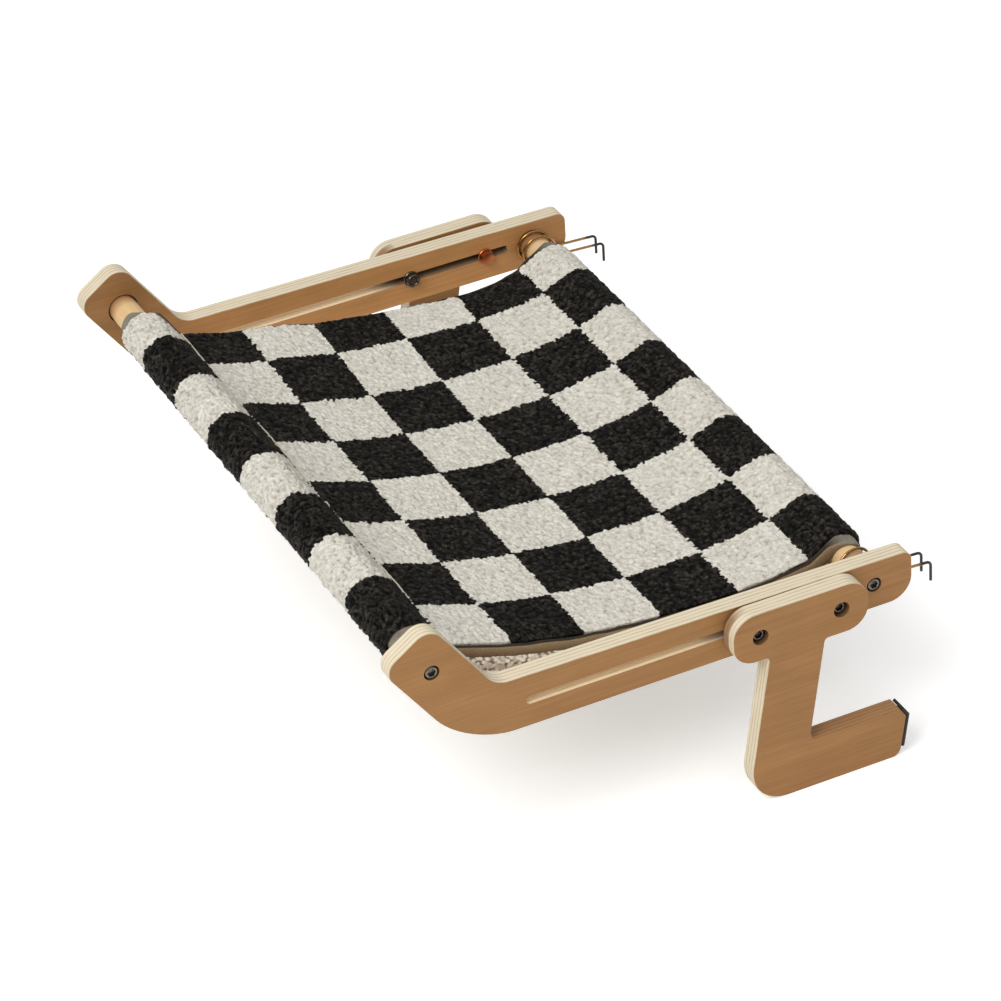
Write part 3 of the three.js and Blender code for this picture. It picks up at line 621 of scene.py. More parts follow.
def plain_metal(name, colour, roughness, scuff):
    """Bare, oxidised or plated steel, with faint scuffs that break up its shine."""
    material = new_material(name)
    place = object_place(material)
    marks = noise(material, place, scuff, 4.0)
    rough = ranged(material, marks, to_low=roughness - 0.08, to_high=roughness + 0.1)
    tone = ranged(material, marks, 0.3, 0.7, 0.85, 1.1)
    tinted = lightened(material, linear(colour)[:3], tone)
    finish(material, {"Base Color": tinted, "Roughness": rough, "Metallic": 1.0})
    return material


def coat(node_name, metal):
    """Gives a small piece of the CAD model, kept as it is, its metal."""
    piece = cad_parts[node_name]
    piece.data.materials.clear()
    piece.data.materials.append(metal)


def turned(profile, centre, side, segments=48):
    """Piece turned about an axis across the perch, from radii and places along it, on one side."""
    shape = bmesh.new()
    verts = [shape.verts.new((radius, side * along, 0)) for radius, along in profile]
    edges = [shape.edges.new(pair) for pair in zip(verts, verts[1:])]
    bmesh.ops.spin(shape, geom=verts + edges, cent=(0, 0, 0), axis=(0, 1, 0), angle=2 * math.pi,
                   steps=segments, use_merge=True)
    bmesh.ops.remove_doubles(shape, verts=shape.verts, dist=0.005 * MM)
    bmesh.ops.recalc_face_normals(shape, faces=shape.faces)
    bmesh.ops.translate(shape, verts=shape.verts, vec=(centre.x, 0, centre.z))
    return shape


def socket_bolt(name, centre, side, head_diameter, outer, tip, material):
    """Bolt with a domed head and a six-sided socket, from its head's outer face to its tip."""
    corner = SOCKET_ACROSS / math.sqrt(3)
    crown = [(head_diameter / 2 - HEAD_CROWN * (1 - math.cos(a)), outer - HEAD_CROWN * (1 - math.sin(a)))
             for a in np.linspace(0, math.pi / 2, 6)]
    shape = turned([
        (0, tip), (BOLT_DIAMETER / 2, tip), (BOLT_DIAMETER / 2, outer - HEAD_HEIGHT),
        (head_diameter / 2, outer - HEAD_HEIGHT), *crown,
        (corner + 0.25 * MM, outer), (corner, outer - 0.2 * MM), (corner, outer - SOCKET_DEPTH),
        (0, outer - SOCKET_DEPTH * 1.2),
    ], centre, side)
    for vert in shape.verts:
        x, z = vert.co.x - centre.x, vert.co.z - centre.z
        if abs(math.hypot(x, z) - corner) < 0.02 * MM:
            turn_in_face = (math.atan2(z, x) % (math.pi / 3)) - math.pi / 6
            flat = SOCKET_ACROSS / 2 / math.cos(turn_in_face) / corner
            vert.co.x, vert.co.z = centre.x + x * flat, centre.z + z * flat
    bolt = piece_from(shape, name, material)
    smooth_over(bolt, 35)
    return bolt


# The clamps' bolts and front nuts are nearly black with a soft sheen, and the dowels' bolts a brighter grey
black_oxide = plain_metal("black_oxide_steel", "5E5852", 0.25, 1.5 * MM)
bright_steel = plain_metal("oiled_bright_steel", "716C64", 0.2, 1.5 * MM)
# Painted reflection: the rear nuts are copper coloured in place of the warm wood they reflect, and the
# inserts and washers are a duller pale grey
copper_painted_reflection = plain_metal("steel_with_painted_copper_reflection", "B56B42", 0.34, 1.5 * MM)
zinc = plain_metal("zinc_plated_steel", "B9B4A8", 0.36, 1.2 * MM)

for side_name, side in (("left", 1), ("right", -1)):
    for end_name, axis in (("front", FRONT_AXIS), ("rear", REAR_AXIS)):
        dowel_bolt = socket_bolt(f"{end_name}_{side_name}_end_bolt", axis, side, END_HEAD,
                                 RAIL_OUTER - 0.15 * MM, RAIL_INNER - 9 * MM, bright_steel)
        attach(dowel_bolt, "frame")
        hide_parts(f"{end_name}_{side_name}_dowel_bolt")
        coat(f"{end_name}_{side_name}_dowel_insert", zinc)
    for end_name, way in (("front", -1), ("rear", 1)):
        at = Vector((way * CLAMP_SPACING / 2 - BRACKET_SETBACKS[side_name], 0, SLOT_HEIGHT))
        coat(f"{side_name}_{end_name}_clamp_washer", zinc)
        clamp_bolt = socket_bolt(f"{side_name}_{end_name}_plate_bolt", at, side, CLAMP_HEAD,
                                 BRACKET_OUTER - 2.7 * MM, RAIL_INNER - 4.3 * MM, black_oxide)
        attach(clamp_bolt, f"{side_name}_clamp")
        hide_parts(f"{side_name}_{end_name}_clamp_bolt")
        flange = RAIL_INNER - 0.3 * MM
        nut_end = flange - 4.6 * MM
        # The front nuts are open, and the rear ones end in a closed cap
        capped = end_name == "rear"
        shoulder = nut_end + 0.5 * MM
        crest = [(0, nut_end), (3.6 * MM, nut_end)]
        if not capped:
            crest = [(3.3 * MM, nut_end), (4.0 * MM, nut_end)]
        nut_shape = turned([
            *crest, (4.5 * MM, shoulder), (4.5 * MM, flange - 1.2 * MM), (5.0 * MM, flange - 1.2 * MM),
            (5.3 * MM, flange - 0.8 * MM), (5.3 * MM, flange), (2.8 * MM, flange), (2.8 * MM, shoulder),
            (0, shoulder) if capped else crest[0],
        ], at, side)
        # The rear nuts take the painted copper reflection
        nut_metal = copper_painted_reflection if capped else black_oxide
        nut = piece_from(nut_shape, f"{side_name}_{end_name}_plate_nut", nut_metal)
        smooth_over(nut, 35)
        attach(nut, f"{side_name}_clamp")
        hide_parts(f"{side_name}_{end_name}_clamp_nut")


# Wall pads
# Black rubber strip, 2 mm thick, glued round each foot's toe so that it grips the wall and doesn't mark
# it. Its corners are softly worn.

# Dull black rubber with a fine grain that catches hardly any light
rubber = new_material("moulded_black_rubber")
rubber_place = object_place(rubber)
rubber_grain = noise(rubber, rubber_place, 0.7 * MM, 3.0)
rubber_colour = mixed(rubber, rubber_grain, "141312", "2A2826")
rubber_relief = bumps(rubber, rubber_grain, 0.1 * MM, 0.6)
finish(rubber, {"Base Color": rubber_colour, "Roughness": 0.75, "Normal": rubber_relief, "IOR": 1.52})

for side_name in ("left", "right"):
    pad_shape = bmesh.new()
    pad_shape.from_mesh(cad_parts[f"{side_name}_wall_pad"].data)
    bmesh.ops.remove_doubles(pad_shape, verts=pad_shape.verts, dist=0.01 * MM)
    bmesh.ops.dissolve_limit(pad_shape, angle_limit=math.radians(1),
                             verts=pad_shape.verts, edges=pad_shape.edges)
    corners = [e for e in pad_shape.edges if e.calc_face_angle(0) > math.radians(50)]
    round_off(pad_shape, corners, 0.5 * MM)
    pad = piece_from(pad_shape, f"{side_name}_toe_pad", rubber)
    smooth_over(pad, 45)
    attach(pad, f"{side_name}_clamp")
    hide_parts(f"{side_name}_wall_pad")


# Spring hooks
# One 1.8 mm wire on each side of the mat, yellow-passivated spring steel wound twice round the rear dowel,
# with two legs that run out towards the window. The legs end in prongs turned down and dipped in black
# paint.

WIRE = 1.8 * MM
COIL_RADIUS = 11.1 * MM
LEG_BRANCH = math.radians(40)
LEG_DROOP = math.radians(3)
HOOK_BEND = 3 * MM
HOOK_REACH = 46.5 * MM
HOOK_DROP = 13.5 * MM
HOOK_TO_RAIL = 0.6 * MM
HOOK_TO_MAT = 9.6 * MM
MAT_HALF = 196 * MM

# Passivated steel: a mottled gold with a tight bright shine, under thicker black paint at the prongs
passivated = new_material("yellow_passivated_wire")
wire_place = object_place(passivated)
wire_apart = add_node(passivated, "ShaderNodeSeparateXYZ", {0: wire_place})
wire_mottle = noise(passivated, wire_place, 2 * MM, 3.0)
wire_gold = mixed(passivated, wire_mottle, "8A602F", "C79C60")
# The dipped paint starts about 6 mm before the bend
wire_dip = ranged(passivated, wire_apart.outputs["X"], 37 * MM, 40 * MM)
wire_colour = mixed(passivated, wire_dip, wire_gold, "0C0706")
wire_metal = ranged(passivated, wire_dip, to_low=1.0, to_high=0.0)
wire_rough = ranged(passivated, wire_dip, to_low=0.2, to_high=0.55)
finish(passivated, {
    "Base Color": wire_colour, "Metallic": wire_metal, "Roughness": wire_rough, "Coat Weight": 0.3,
    "Coat Roughness": 0.08})


def bend_points(start, heading, new_heading, radius, steps=8):
    """Points of a round bend in the plane of the rails, from one heading to another."""
    way = math.copysign(1, new_heading - heading)

    def to_side(angle):
        return Vector((-math.sin(angle), math.cos(angle))) * way * radius

    centre = start + to_side(heading)
    return [centre - to_side(heading + (new_heading - heading) * i / steps) for i in range(steps + 1)]


def hook_path():
    """Centre line of a hook on the left side: prong, leg, two turns of coil, leg and prong."""
    outer, inner = RAIL_INNER - HOOK_TO_RAIL - WIRE / 2, MAT_HALF + HOOK_TO_MAT + WIRE / 2
    axis = Vector((REAR_AXIS.x, REAR_AXIS.z))

    def on_coil(angle):
        return axis + Vector((math.cos(angle), math.sin(angle))) * COIL_RADIUS

    over = bend_points(on_coil(-LEG_BRANCH), math.pi / 2 - LEG_BRANCH, -LEG_DROOP, HOOK_BEND)
    start = over[-1]

    def leg_height(x):
        return start.y - (x - start.x) * math.tan(LEG_DROOP)

    rear = axis.x + COIL_RADIUS
    fall_end = Vector((rear, leg_height(rear + HOOK_BEND) + HOOK_BEND * math.cos(LEG_DROOP)))
    under = bend_points(fall_end, -math.pi / 2, -LEG_DROOP, HOOK_BEND)
    top = Vector((HOOK_REACH - HOOK_BEND, leg_height(HOOK_REACH - HOOK_BEND)))
    prong = bend_points(top, -LEG_DROOP, -math.pi / 2, HOOK_BEND)
    prong.append(Vector((prong[-1].x, leg_height(HOOK_REACH) - HOOK_DROP)))
    sweep = 4 * math.pi - LEG_BRANCH
    steps = 110
    path = [(p.x, outer, p.y) for p in reversed(over + prong)]
    for i in range(1, steps):
        share = i / steps
        at = on_coil(sweep * (1 - share))
        eased = share * share * (3 - 2 * share)
        path.append((at.x, outer + (inner - outer) * eased, at.y))
    return path + [(p.x, inner, p.y) for p in [on_coil(0), *under, *prong]]


def wire_along(path, name, radius, closed=False, sides=3):
    """Round wire or thread along a line of points, as a closed mesh."""
    curve = bpy.data.curves.new(name, "CURVE")
    curve.dimensions = "3D"
    curve.bevel_depth = radius
    curve.bevel_resolution = sides
    curve.use_fill_caps = True
    line = curve.splines.new("POLY")
    line.points.add(len(path) - 1)
    for vertex, place in zip(line.points, path):
        vertex.co = (*place, 1)
    line.use_cyclic_u = closed
    drawn = bpy.data.objects.new(name, curve)
    bpy.context.scene.collection.objects.link(drawn)
    solid = bpy.data.meshes.new_from_object(drawn.evaluated_get(bpy.context.evaluated_depsgraph_get()))
    bpy.data.objects.remove(drawn)
    shape = bmesh.new()
    shape.from_mesh(solid)
    bmesh.ops.remove_doubles(shape, verts=shape.verts, dist=0.001 * MM)
    return shape


for side_name, side in (("left", 1), ("right", -1)):
    hook_shape = wire_along([(x, side * y, z) for x, y, z in hook_path()], "hook_line", WIRE / 2)
    hook = piece_from(hook_shape, f"{side_name}_wire_hook", passivated)
    smooth_over(hook, 60)
    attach(hook, f"{side_name}_hook")
    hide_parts(f"{side_name}_spring_hook")


# Fleece mat
# Long-pile polyester fleece in a plain black and off-white check of 50 mm squares, folded back and sewn
# into a sleeve round each dowel, and slung between them. Its curls stand close together and puff out over
# the bound side edges.

REAR_SEAM = np.array((-23.7, 21.5)) * MM
FRONT_SEAM = np.array((-258.4, 43.3)) * MM
REAR_PULL = np.array((-91.7, 4.5)) * MM
FRONT_PULL = np.array((-179.4, 12.3)) * MM
SLEEVE_RADIUS = 14.4 * MM
FLEECE_THICKNESS = 7 * MM
FLEECE_HALF = 191.7 * MM
SQUARE = 50 * MM
CHECK_SHIFT = 4 * MM
FRONT_COLUMN_ANGLE = math.radians(207)
COLUMN_LINES = [(-219.0, 2), (-170.8, 3), (-121.8, 4), (-71.2, 5)]
MESH_STEP = 0.75 * MM
BORE_RADIUS = 9.6 * MM
# The deck's side edges draw in between the dowels, and the mat hangs a little askew: x and how far out the
# pile reaches there, in mm
LEFT_EDGE = ((-255, 195.5), (-205, 193), (-160, 191), (-115, 189), (-60, 186), (-24, 188.5))
RIGHT_EDGE = ((-255, 190), (-180, 190.5), (-100, 192), (-60, 193.5), (-24, 194))
# The bound edges sag less than the middle, the left one least: x and the height above the deck's line, in mm
LEFT_LIFT = (
    (-263, 0), (-252, 2.2), (-232, 3.4), (-218, 5.2), (-204, 8), (-190, 7.6), (-172, 6.4), (-150, 6.9),
    (-115, 6.2), (-93, 4.6), (-70, 2.2), (-50, 0), (-36, -1.4), (-28, -1.2), (-20, 0))
RIGHT_LIFT = (
    (-263, 0), (-252, 1.4), (-203, 1.2), (-171, 1.4), (-155, 2.1), (-100, 2.1), (-60, 1.4), (-20, 0))
LIFT_START = 88 * MM
LIFT_FULL = 192 * MM
SIDE_FALL = 2.6 * MM
FRAY = 0.45 * MM
BACKING_INSET = 3 * MM
SEAM_BEND = 5 * MM
SEAM_BEND_SPAN = (105 * MM, 190 * MM)
CHECK_SLANT = 30 * MM
SLANT_REACH = 34 * MM
# How far out the pile and the tape end on the front sleeve and on the rear one
PILE_ENDS = {"left": (187.5 * MM, 190.5 * MM), "right": (198.0 * MM, 191.3 * MM)}
TAPE_ENDS = {"left": (197.5 * MM, 200.5 * MM), "right": (203.0 * MM, 200.0 * MM)}


def deck_curve(share):
    """Point and heading of the slung deck's top line, from the rear seam to the front seam."""
    s = np.atleast_1d(share)[:, None]
    a, b, c, d = REAR_SEAM, REAR_PULL, FRONT_PULL, FRONT_SEAM
    place = (1 - s) ** 3 * a + 3 * (1 - s) ** 2 * s * b + 3 * (1 - s) * s ** 2 * c + s ** 3 * d
    run = 3 * (1 - s) ** 2 * (b - a) + 6 * (1 - s) * s * (c - b) + 3 * s ** 2 * (d - c)
    return place, run / np.linalg.norm(run, axis=1, keepdims=True)


def deck_line(depth, count=200):
    """The deck's line moved down by a depth."""
    place, run = deck_curve(np.linspace(0, 1, count))
    return place + depth * np.stack([-run[:, 1], run[:, 0]], 1)


def sleeve_arc(axis, radius, from_seam, to_seam, count=80):
    """Arc round a dowel that meets the lines to the two seams without a kink."""
    centre = np.array((axis.x, axis.z))

    def touch(seam, way):
        reach = np.array(seam) - centre
        return math.atan2(reach[1], reach[0]) + way * math.acos(radius / np.linalg.norm(reach))

    start, end = touch(from_seam, 1), touch(to_seam, -1)
    angles = start + ((end - start) % (2 * math.pi)) * np.linspace(0, 1, count)
    return centre + radius * np.stack([np.cos(angles), np.sin(angles)], 1)


def lengths(line):
    """How far along a line each of its points is."""
    return np.concatenate([[0], np.cumsum(np.linalg.norm(np.diff(line, axis=0), axis=1))])


def evenly(line, step):
    """Points along a line, a step apart."""
    run = lengths(line)
    at = np.linspace(0, run[-1], max(2, round(run[-1] / step) + 1))
    return np.stack([np.interp(at, run, line[:, k]) for k in (0, 1)], 1)


def ramp(value, start, end):
    """Smooth rise from 0 to 1 between two values."""
    share = np.clip((value - start) / (end - start), 0, 1)
    return share * share * (3 - 2 * share)


def tufts(u, v, pitch, short, long, seed):
    """Rounded tufts a pitch apart and short by long in half width: height, shade and each one's middle."""
    random = np.random.default_rng(seed)
    cells_u, cells_v = int(u.max() / pitch) + 8, int((v.max() - v.min()) / pitch) + 8
    shares = random.random((6, cells_u, cells_v))
    row = np.floor(u / pitch).astype(int) + 3
    column = np.floor((v - v.min()) / pitch).astype(int) + 3
    best, shade = np.zeros_like(u), np.full_like(u, 0.5)
    middle_u, middle_v = u.copy(), v.copy()
    for i in range(-2, 3):
        for j in range(-2, 3):
            a, b, c, d, e, f = shares[:, row + i, column + j]
            at_u = (row + i - 3 + 0.1 + 0.8 * a) * pitch
            at_v = v.min() + (column + j - 3 + 0.1 + 0.8 * b) * pitch
            turn_by = math.pi * c
            along = (u - at_u) * np.cos(turn_by) + (v - at_v) * np.sin(turn_by)
            aside = (v - at_v) * np.cos(turn_by) - (u - at_u) * np.sin(turn_by)
            q = (along / (short + (long - short) * d)) ** 2 + (aside / short) ** 2
            dome = np.sqrt(np.clip(1 - q, 0, 1)) * (0.6 + 0.4 * e)
            higher = dome > best
            best, shade = np.where(higher, dome, best), np.where(higher, f, shade)
            middle_u, middle_v = np.where(higher, at_u, middle_u), np.where(higher, at_v, middle_v)
    return best, shade, middle_u, middle_v


def by_side(x, y, left_knots, right_knots):
    """Value read off the left or the right side's knots at x, for the side that y is on."""
    left, right = (np.interp(x, *(np.array(knots).T * MM)) for knots in (left_knots, right_knots))
    return np.where(np.asarray(y) > 0, left, right)


def deck_edge(x, y):
    """How far out the deck's pile reaches at x."""
    return by_side(x, y, LEFT_EDGE, RIGHT_EDGE)


def side_lift(x, y):
    """How much higher the mat hangs towards its bound edges than in the middle."""
    return by_side(x, y, LEFT_LIFT, RIGHT_LIFT) * ramp(np.abs(y), LIFT_START, LIFT_FULL)


def sleeve_end(x, y, ends):
    """How far out a sleeve's pile or tape reaches, from its four ends."""
    at_rear = ramp(x, -180 * MM, -100 * MM)
    left, right = (ends[side][0] + (ends[side][1] - ends[side][0]) * at_rear for side in ("left", "right"))
    return np.where(np.asarray(y) > 0, left, right)


def stored(material, attribute):
    """Value that the mesh stores for each of its points."""
    return add_node(material, "ShaderNodeAttribute", {}, attribute_name=attribute).outputs["Fac"]


def join_rings(shape, first, second):
    """Closes the strip between two rings that have as many points."""
    for corners in zip(first, first[1:] + first[:1], second[1:] + second[:1], second):
        shape.faces.new(corners)


def pile_body(name, line, y, offsets, values, bores, material):
    """Closed body of pile fabric: a loop in the plane of the rails, repeated across and moved outwards."""
    run = np.roll(line, -1, axis=0) - np.roll(line, 1, axis=0)
    run /= np.linalg.norm(run, axis=1, keepdims=True)
    x = line[:, :1] + run[:, 1:] * offsets
    z = line[:, 1:] - run[:, :1] * offsets
    z = z + side_lift(x, y)
    around, across = x.shape
    shape = bmesh.new()
    verts = [shape.verts.new(place) for place in np.stack([x, y, z], -1).reshape(-1, 3).tolist()]
    for i in range(around):
        a, b = i * across, ((i + 1) % around) * across
        for k in range(across - 1):
            shape.faces.new((verts[a + k], verts[a + k + 1], verts[b + k + 1], verts[b + k]))
    ring_sets = []
    for k in (0, across - 1):
        rim = [verts[i * across + k] for i in range(around)]
        edges = [shape.edges.get((a, b)) for a, b in zip(rim, rim[1:] + rim[:1])]
        end = y[0, k]
        turns = [(BORE_RADIUS * math.cos(a), BORE_RADIUS * math.sin(a))
                 for a in np.linspace(0, 2 * math.pi, 48, endpoint=False)]
        rings = [[shape.verts.new((axis.x + dx, end, axis.z + dz)) for dx, dz in turns] for axis in bores]
        for ring in rings:
            edges += [shape.edges.new(pair) for pair in zip(ring, ring[1:] + ring[:1])]
        bmesh.ops.triangle_fill(shape, use_beauty=True, edges=edges)
        ring_sets.append(rings)
    for first, last in zip(*ring_sets):
        join_rings(shape, first, last)
    bmesh.ops.recalc_face_normals(shape, faces=shape.faces)
    piece = piece_from(shape, name, material)
    for attribute_name, numbers in values.items():
        attribute = piece.data.attributes.new(attribute_name, "FLOAT", "POINT")
        full = np.zeros(len(piece.data.vertices), np.float32)
        full[:around * across] = numbers.reshape(-1)
        attribute.data.foreach_set("value", full)
    piece.data.polygons.foreach_set("use_smooth", [True] * len(piece.data.polygons))
    return piece


deck_top = deck_line(0)
deck_under = deck_line(FLEECE_THICKNESS)[::-1]
rear_arc = sleeve_arc(REAR_AXIS, SLEEVE_RADIUS, deck_under[-1], deck_top[0])
front_arc = sleeve_arc(FRONT_AXIS, SLEEVE_RADIUS, deck_top[-1], deck_under[0])
pile_line = evenly(np.concatenate([rear_arc, deck_top, front_arc, deck_under[:1]]), MESH_STEP)
backing_line = evenly(np.concatenate([deck_under, rear_arc[:1]]), 8 * MM)[1:-1]
fleece_line = np.concatenate([pile_line, backing_line])
run_to = lengths(fleece_line)


def run_at(place):
    """How far round the fleece's loop a place on it is."""
    return run_to[np.argmin(np.linalg.norm(pile_line - place, axis=1))]


rear_run, front_run = run_at(REAR_SEAM), run_at(FRONT_SEAM)
front_edge = np.array((FRONT_AXIS.x, FRONT_AXIS.z)) + SLEEVE_RADIUS * np.array(
    (math.cos(FRONT_COLUMN_ANGLE), math.sin(FRONT_COLUMN_ANGLE)))
line_runs = [(rear_run - 2 * SQUARE, 8), (rear_run - SQUARE, 7), (rear_run, 6)]
for x, column in COLUMN_LINES[::-1]:
    nearest = np.argmin(np.abs(deck_top[:, 0] - x * MM))
    line_runs.append((run_at(deck_top[nearest]), column))
line_runs += [(front_run, 1), (run_at(front_edge), 0), (run_at(front_edge) + SQUARE, -1)]
line_runs += [(run_at(front_edge) + 20 * SQUARE, -20)]
known_runs, known_columns = np.array(line_runs).T

widths = np.linspace(-FLEECE_HALF, FLEECE_HALF, round(2 * FLEECE_HALF / MESH_STEP) + 1)
u, v = np.meshgrid(run_to, widths, indexing="ij")
on_backing = u > run_to[len(pile_line) - 1]
# The front seam bends forward, up the sleeve, near its left end
near_seam = ramp(u, front_run - 14 * MM, front_run)
near_seam *= 1 - ramp(u, front_run + 8 * MM, front_run + 26 * MM)
seam_at = front_run + SEAM_BEND * ramp(v, *SEAM_BEND_SPAN)
from_seam = u - front_run - (seam_at - front_run) * near_seam
on_roll = ramp(from_seam, -1 * MM, 3 * MM)
on_deck = ramp(u, rear_run - 12 * MM, rear_run + 2 * MM)
on_deck *= 1 - ramp(u, front_run - 2 * MM, front_run + 10 * MM)

# The deck and the rear sleeve have small round tufts, and the front sleeve has longer curls, all in loose
# clumps. Each tuft takes the square that its middle lies in, so the squares' edges are toothed.
deck_pile, deck_shade, *_ = tufts(u, v, 2.7 * MM, 1.9 * MM, 2.7 * MM, 11)
roll_pile, roll_shade, *_ = tufts(u, v, 2.9 * MM, 1.5 * MM, 5.2 * MM, 12)
deck_clumps, *_ = tufts(u, v, 7 * MM, 5 * MM, 7 * MM, 13)
roll_clumps, *_ = tufts(u, v, 9 * MM, 5.5 * MM, 9 * MM, 14)
tooth_u, tooth_v = tufts(u, v, 1.9 * MM, 1.4 * MM, 1.8 * MM, 15)[2:]
tooth_u = tooth_u + from_seam + front_run - u
pile = deck_pile + (roll_pile - deck_pile) * on_roll
shade = np.where(on_roll > 0.5, roll_shade, deck_shade)

column = np.floor(np.interp(tooth_u, known_runs, known_columns))
# The sleeve is sewn on the slant, so its squares lean to the left towards the front seam
tooth_v = tooth_v - CHECK_SLANT * np.clip(1 - from_seam / SLANT_REACH, 0, 1) * (from_seam > 0)
row = np.floor((4 * SQUARE + CHECK_SHIFT - tooth_v) / SQUARE)
dark = ((column + row) % 2 != 0).astype(float)

# The front seam holds the pile down beside it, and a narrow groove runs along its front
pressed = 1 - 0.6 * np.exp(-(from_seam / (2.2 * MM)) ** 2)
height = (pile - 0.7) * (1.8 + 0.8 * on_roll) * MM
height += (deck_clumps - 0.6) * 0.9 * MM * (1 - on_roll) + (roll_clumps - 0.6) * 1.6 * MM * on_roll
groove = np.exp(-((from_seam - 1.3 * MM) / (0.9 * MM)) ** 2)
offset = height * pressed - 2.0 * MM * groove
side_fall = np.clip((np.abs(v) - FLEECE_HALF) / SIDE_FALL + 1, 0, 1)
offset = np.where(on_backing, 0, offset - (1.8 - 1.2 * on_deck) * MM * side_fall ** 2)
near_side = ramp(np.abs(v), FLEECE_HALF - 40 * MM, FLEECE_HALF)
pile_end = sleeve_end(fleece_line[:, :1], v, PILE_ENDS)
reach = pile_end + (deck_edge(fleece_line[:, :1], v) - pile_end) * np.where(on_backing, 1, on_deck)
frayed = (pile - 0.6) * FRAY * side_fall
puffed = near_side * (reach - FLEECE_HALF - BACKING_INSET * on_backing)
puffed += np.where(on_backing, 0, frayed)
fleece_y = v + np.sign(v) * puffed

# Curled pile: deep and soft, with no shine to speak of, and painted shade between the tufts' crowns
curled = new_material("curled_pile_fleece")
pile_place = object_place(curled)
pile_dark = stored(curled, "dark_square")
pile_tip = stored(curled, "tuft_height")
pile_shade = stored(curled, "tuft_shade")
# Loose fibres and small curls about 1 mm wide, drawn coarser than real ones so that they show
fibres = noise(curled, pile_place, 0.9 * MM, 4.0, roughness=0.7, distortion=0.8)
curls = add_node(curled, "ShaderNodeTexVoronoi", {
    "Vector": pile_place, "Scale": unit_scale(1.5 * MM), "Randomness": 1.0}, feature="F1")
ragged = worked_out(curled, "MULTIPLY_ADD", fibres, 1.4, -0.7)
edge_value = worked_out(curled, "ADD", pile_dark, ragged)
dark_share = ranged(curled, edge_value, 0.38, 0.62)
crown = worked_out(curled, "MULTIPLY_ADD", curls.outputs["Distance"], -0.55, 0.3)
fluffy = worked_out(curled, "ADD", pile_tip, crown)
tone = worked_out(curled, "ADD", fluffy, ragged)
# Painted shade: white curls darken only softly towards their roots, and black ones are near black there,
# with painted highlights on their crowns
pale_unshaded_share = ranged(curled, tone, -0.3, 0.9)
black_highlight_share = ranged(curled, tone, 0.45, 1.25)
off_white = mixed(curled, pile_shade, "DBD6CA", "ECE8DD")
pale_pile = mixed(curled, pale_unshaded_share, "9F9889", off_white)
black_crown_highlights = mixed(curled, pile_shade, "1A1815", "504A42")
black_pile = mixed(curled, black_highlight_share, "020201", black_crown_highlights)
pile_colour = mixed(curled, dark_share, pale_pile, black_pile)
pile_bumps = worked_out(curled, "ADD", fibres, crown)
pile_relief = bumps(curled, pile_bumps, 0.8 * MM, 0.75)
finish(curled, {
    "Base Color": pile_colour, "Roughness": 0.6, "Normal": pile_relief, "Specular IOR Level": 0.1})

fleece = pile_body("checked_fleece", fleece_line, fleece_y, offset,
                   {"dark_square": dark, "tuft_height": pile, "tuft_shade": shade},
                   [FRONT_AXIS, REAR_AXIS], curled)
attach(fleece, "frame")
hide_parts("fleece_mat")

# Cream sewing tape a millimetre across lies along the front seam and dips into the pile here and there. It
# is matte cotton, mottled like a twisted thread.
seam_cotton = new_material("cream_cotton")
seam_place = object_place(seam_cotton)
seam_twist = noise(seam_cotton, seam_place, 1.2 * MM, 2.0)
seam_colour = mixed(seam_cotton, seam_twist, "B9AD95", "F1E9D6")
finish(seam_cotton, {"Base Color": seam_colour, "Roughness": 0.8, "Specular IOR Level": 0.3})
seam_random = np.random.default_rng(41)
seam_ys = np.linspace(-188 * MM, 190 * MM, 150)
seam_wobble = seam_random.uniform(-0.2, 0.2, (2, len(seam_ys))) * MM
seam_knots = np.linspace(seam_ys[0], seam_ys[-1], 12)
seam_sinks = np.interp(seam_ys, seam_knots, seam_random.uniform(0, 2.4, 12)) * MM
seam_runs = front_run + SEAM_BEND * ramp(seam_ys, *SEAM_BEND_SPAN)
seam_x, seam_z = (np.interp(seam_runs, run_to[:len(pile_line)], pile_line[:, k]) for k in (0, 1))
seam_path = [(x + 0.4 * MM + a, y, z + 0.8 * MM + b - sink + side_lift(x, y))
             for x, y, z, sink, a, b in zip(seam_x, seam_ys, seam_z, seam_sinks, *seam_wobble)]
seam_line = piece_from(wire_along(seam_path, "seam_line", 0.5 * MM), "front_seam_tape", seam_cotton)
smooth_over(seam_line, 60)
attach(seam_line, "frame")


# Mat underside
# Off-white pebbly plush, quilted to the fleece's back between the two seams. Its rounded side edges bulge
# out just under the bindings, and the rest shows from below.

LINING_TOP = FLEECE_THICKNESS + 0.3 * MM
LINING_THICKNESS = 11 * MM
LINING_HALF = 191.7 * MM
LINING_STEP = 0.9 * MM
LINING_BULGE = 6 * MM
LINING_ROUND = 6 * MM
ROUND_LENGTH = 9.5 * MM

# Plush in soft pebbles: pale and matte, with warm shadow between them
plush = new_material("pebbly_plush")
plush_place = object_place(plush)
plush_tip = stored(plush, "tuft_height")
plush_shade = stored(plush, "tuft_shade")
plush_fibres = noise(plush, plush_place, 1.0 * MM, 4.0, roughness=0.7)
plush_ground = mixed(plush, plush_shade, "E2D8C4", "FAF3E4")
plush_share = ranged(plush, plush_tip, 0.12, 0.75)
plush_colour = mixed(plush, plush_share, "887A63", plush_ground)
plush_relief = bumps(plush, plush_fibres, 0.7 * MM, 0.8)
finish(plush, {
    "Base Color": plush_colour, "Roughness": 0.9, "Normal": plush_relief, "Sheen Weight": 0.05,
    "Sheen Roughness": 0.5, "Specular IOR Level": 0.2})

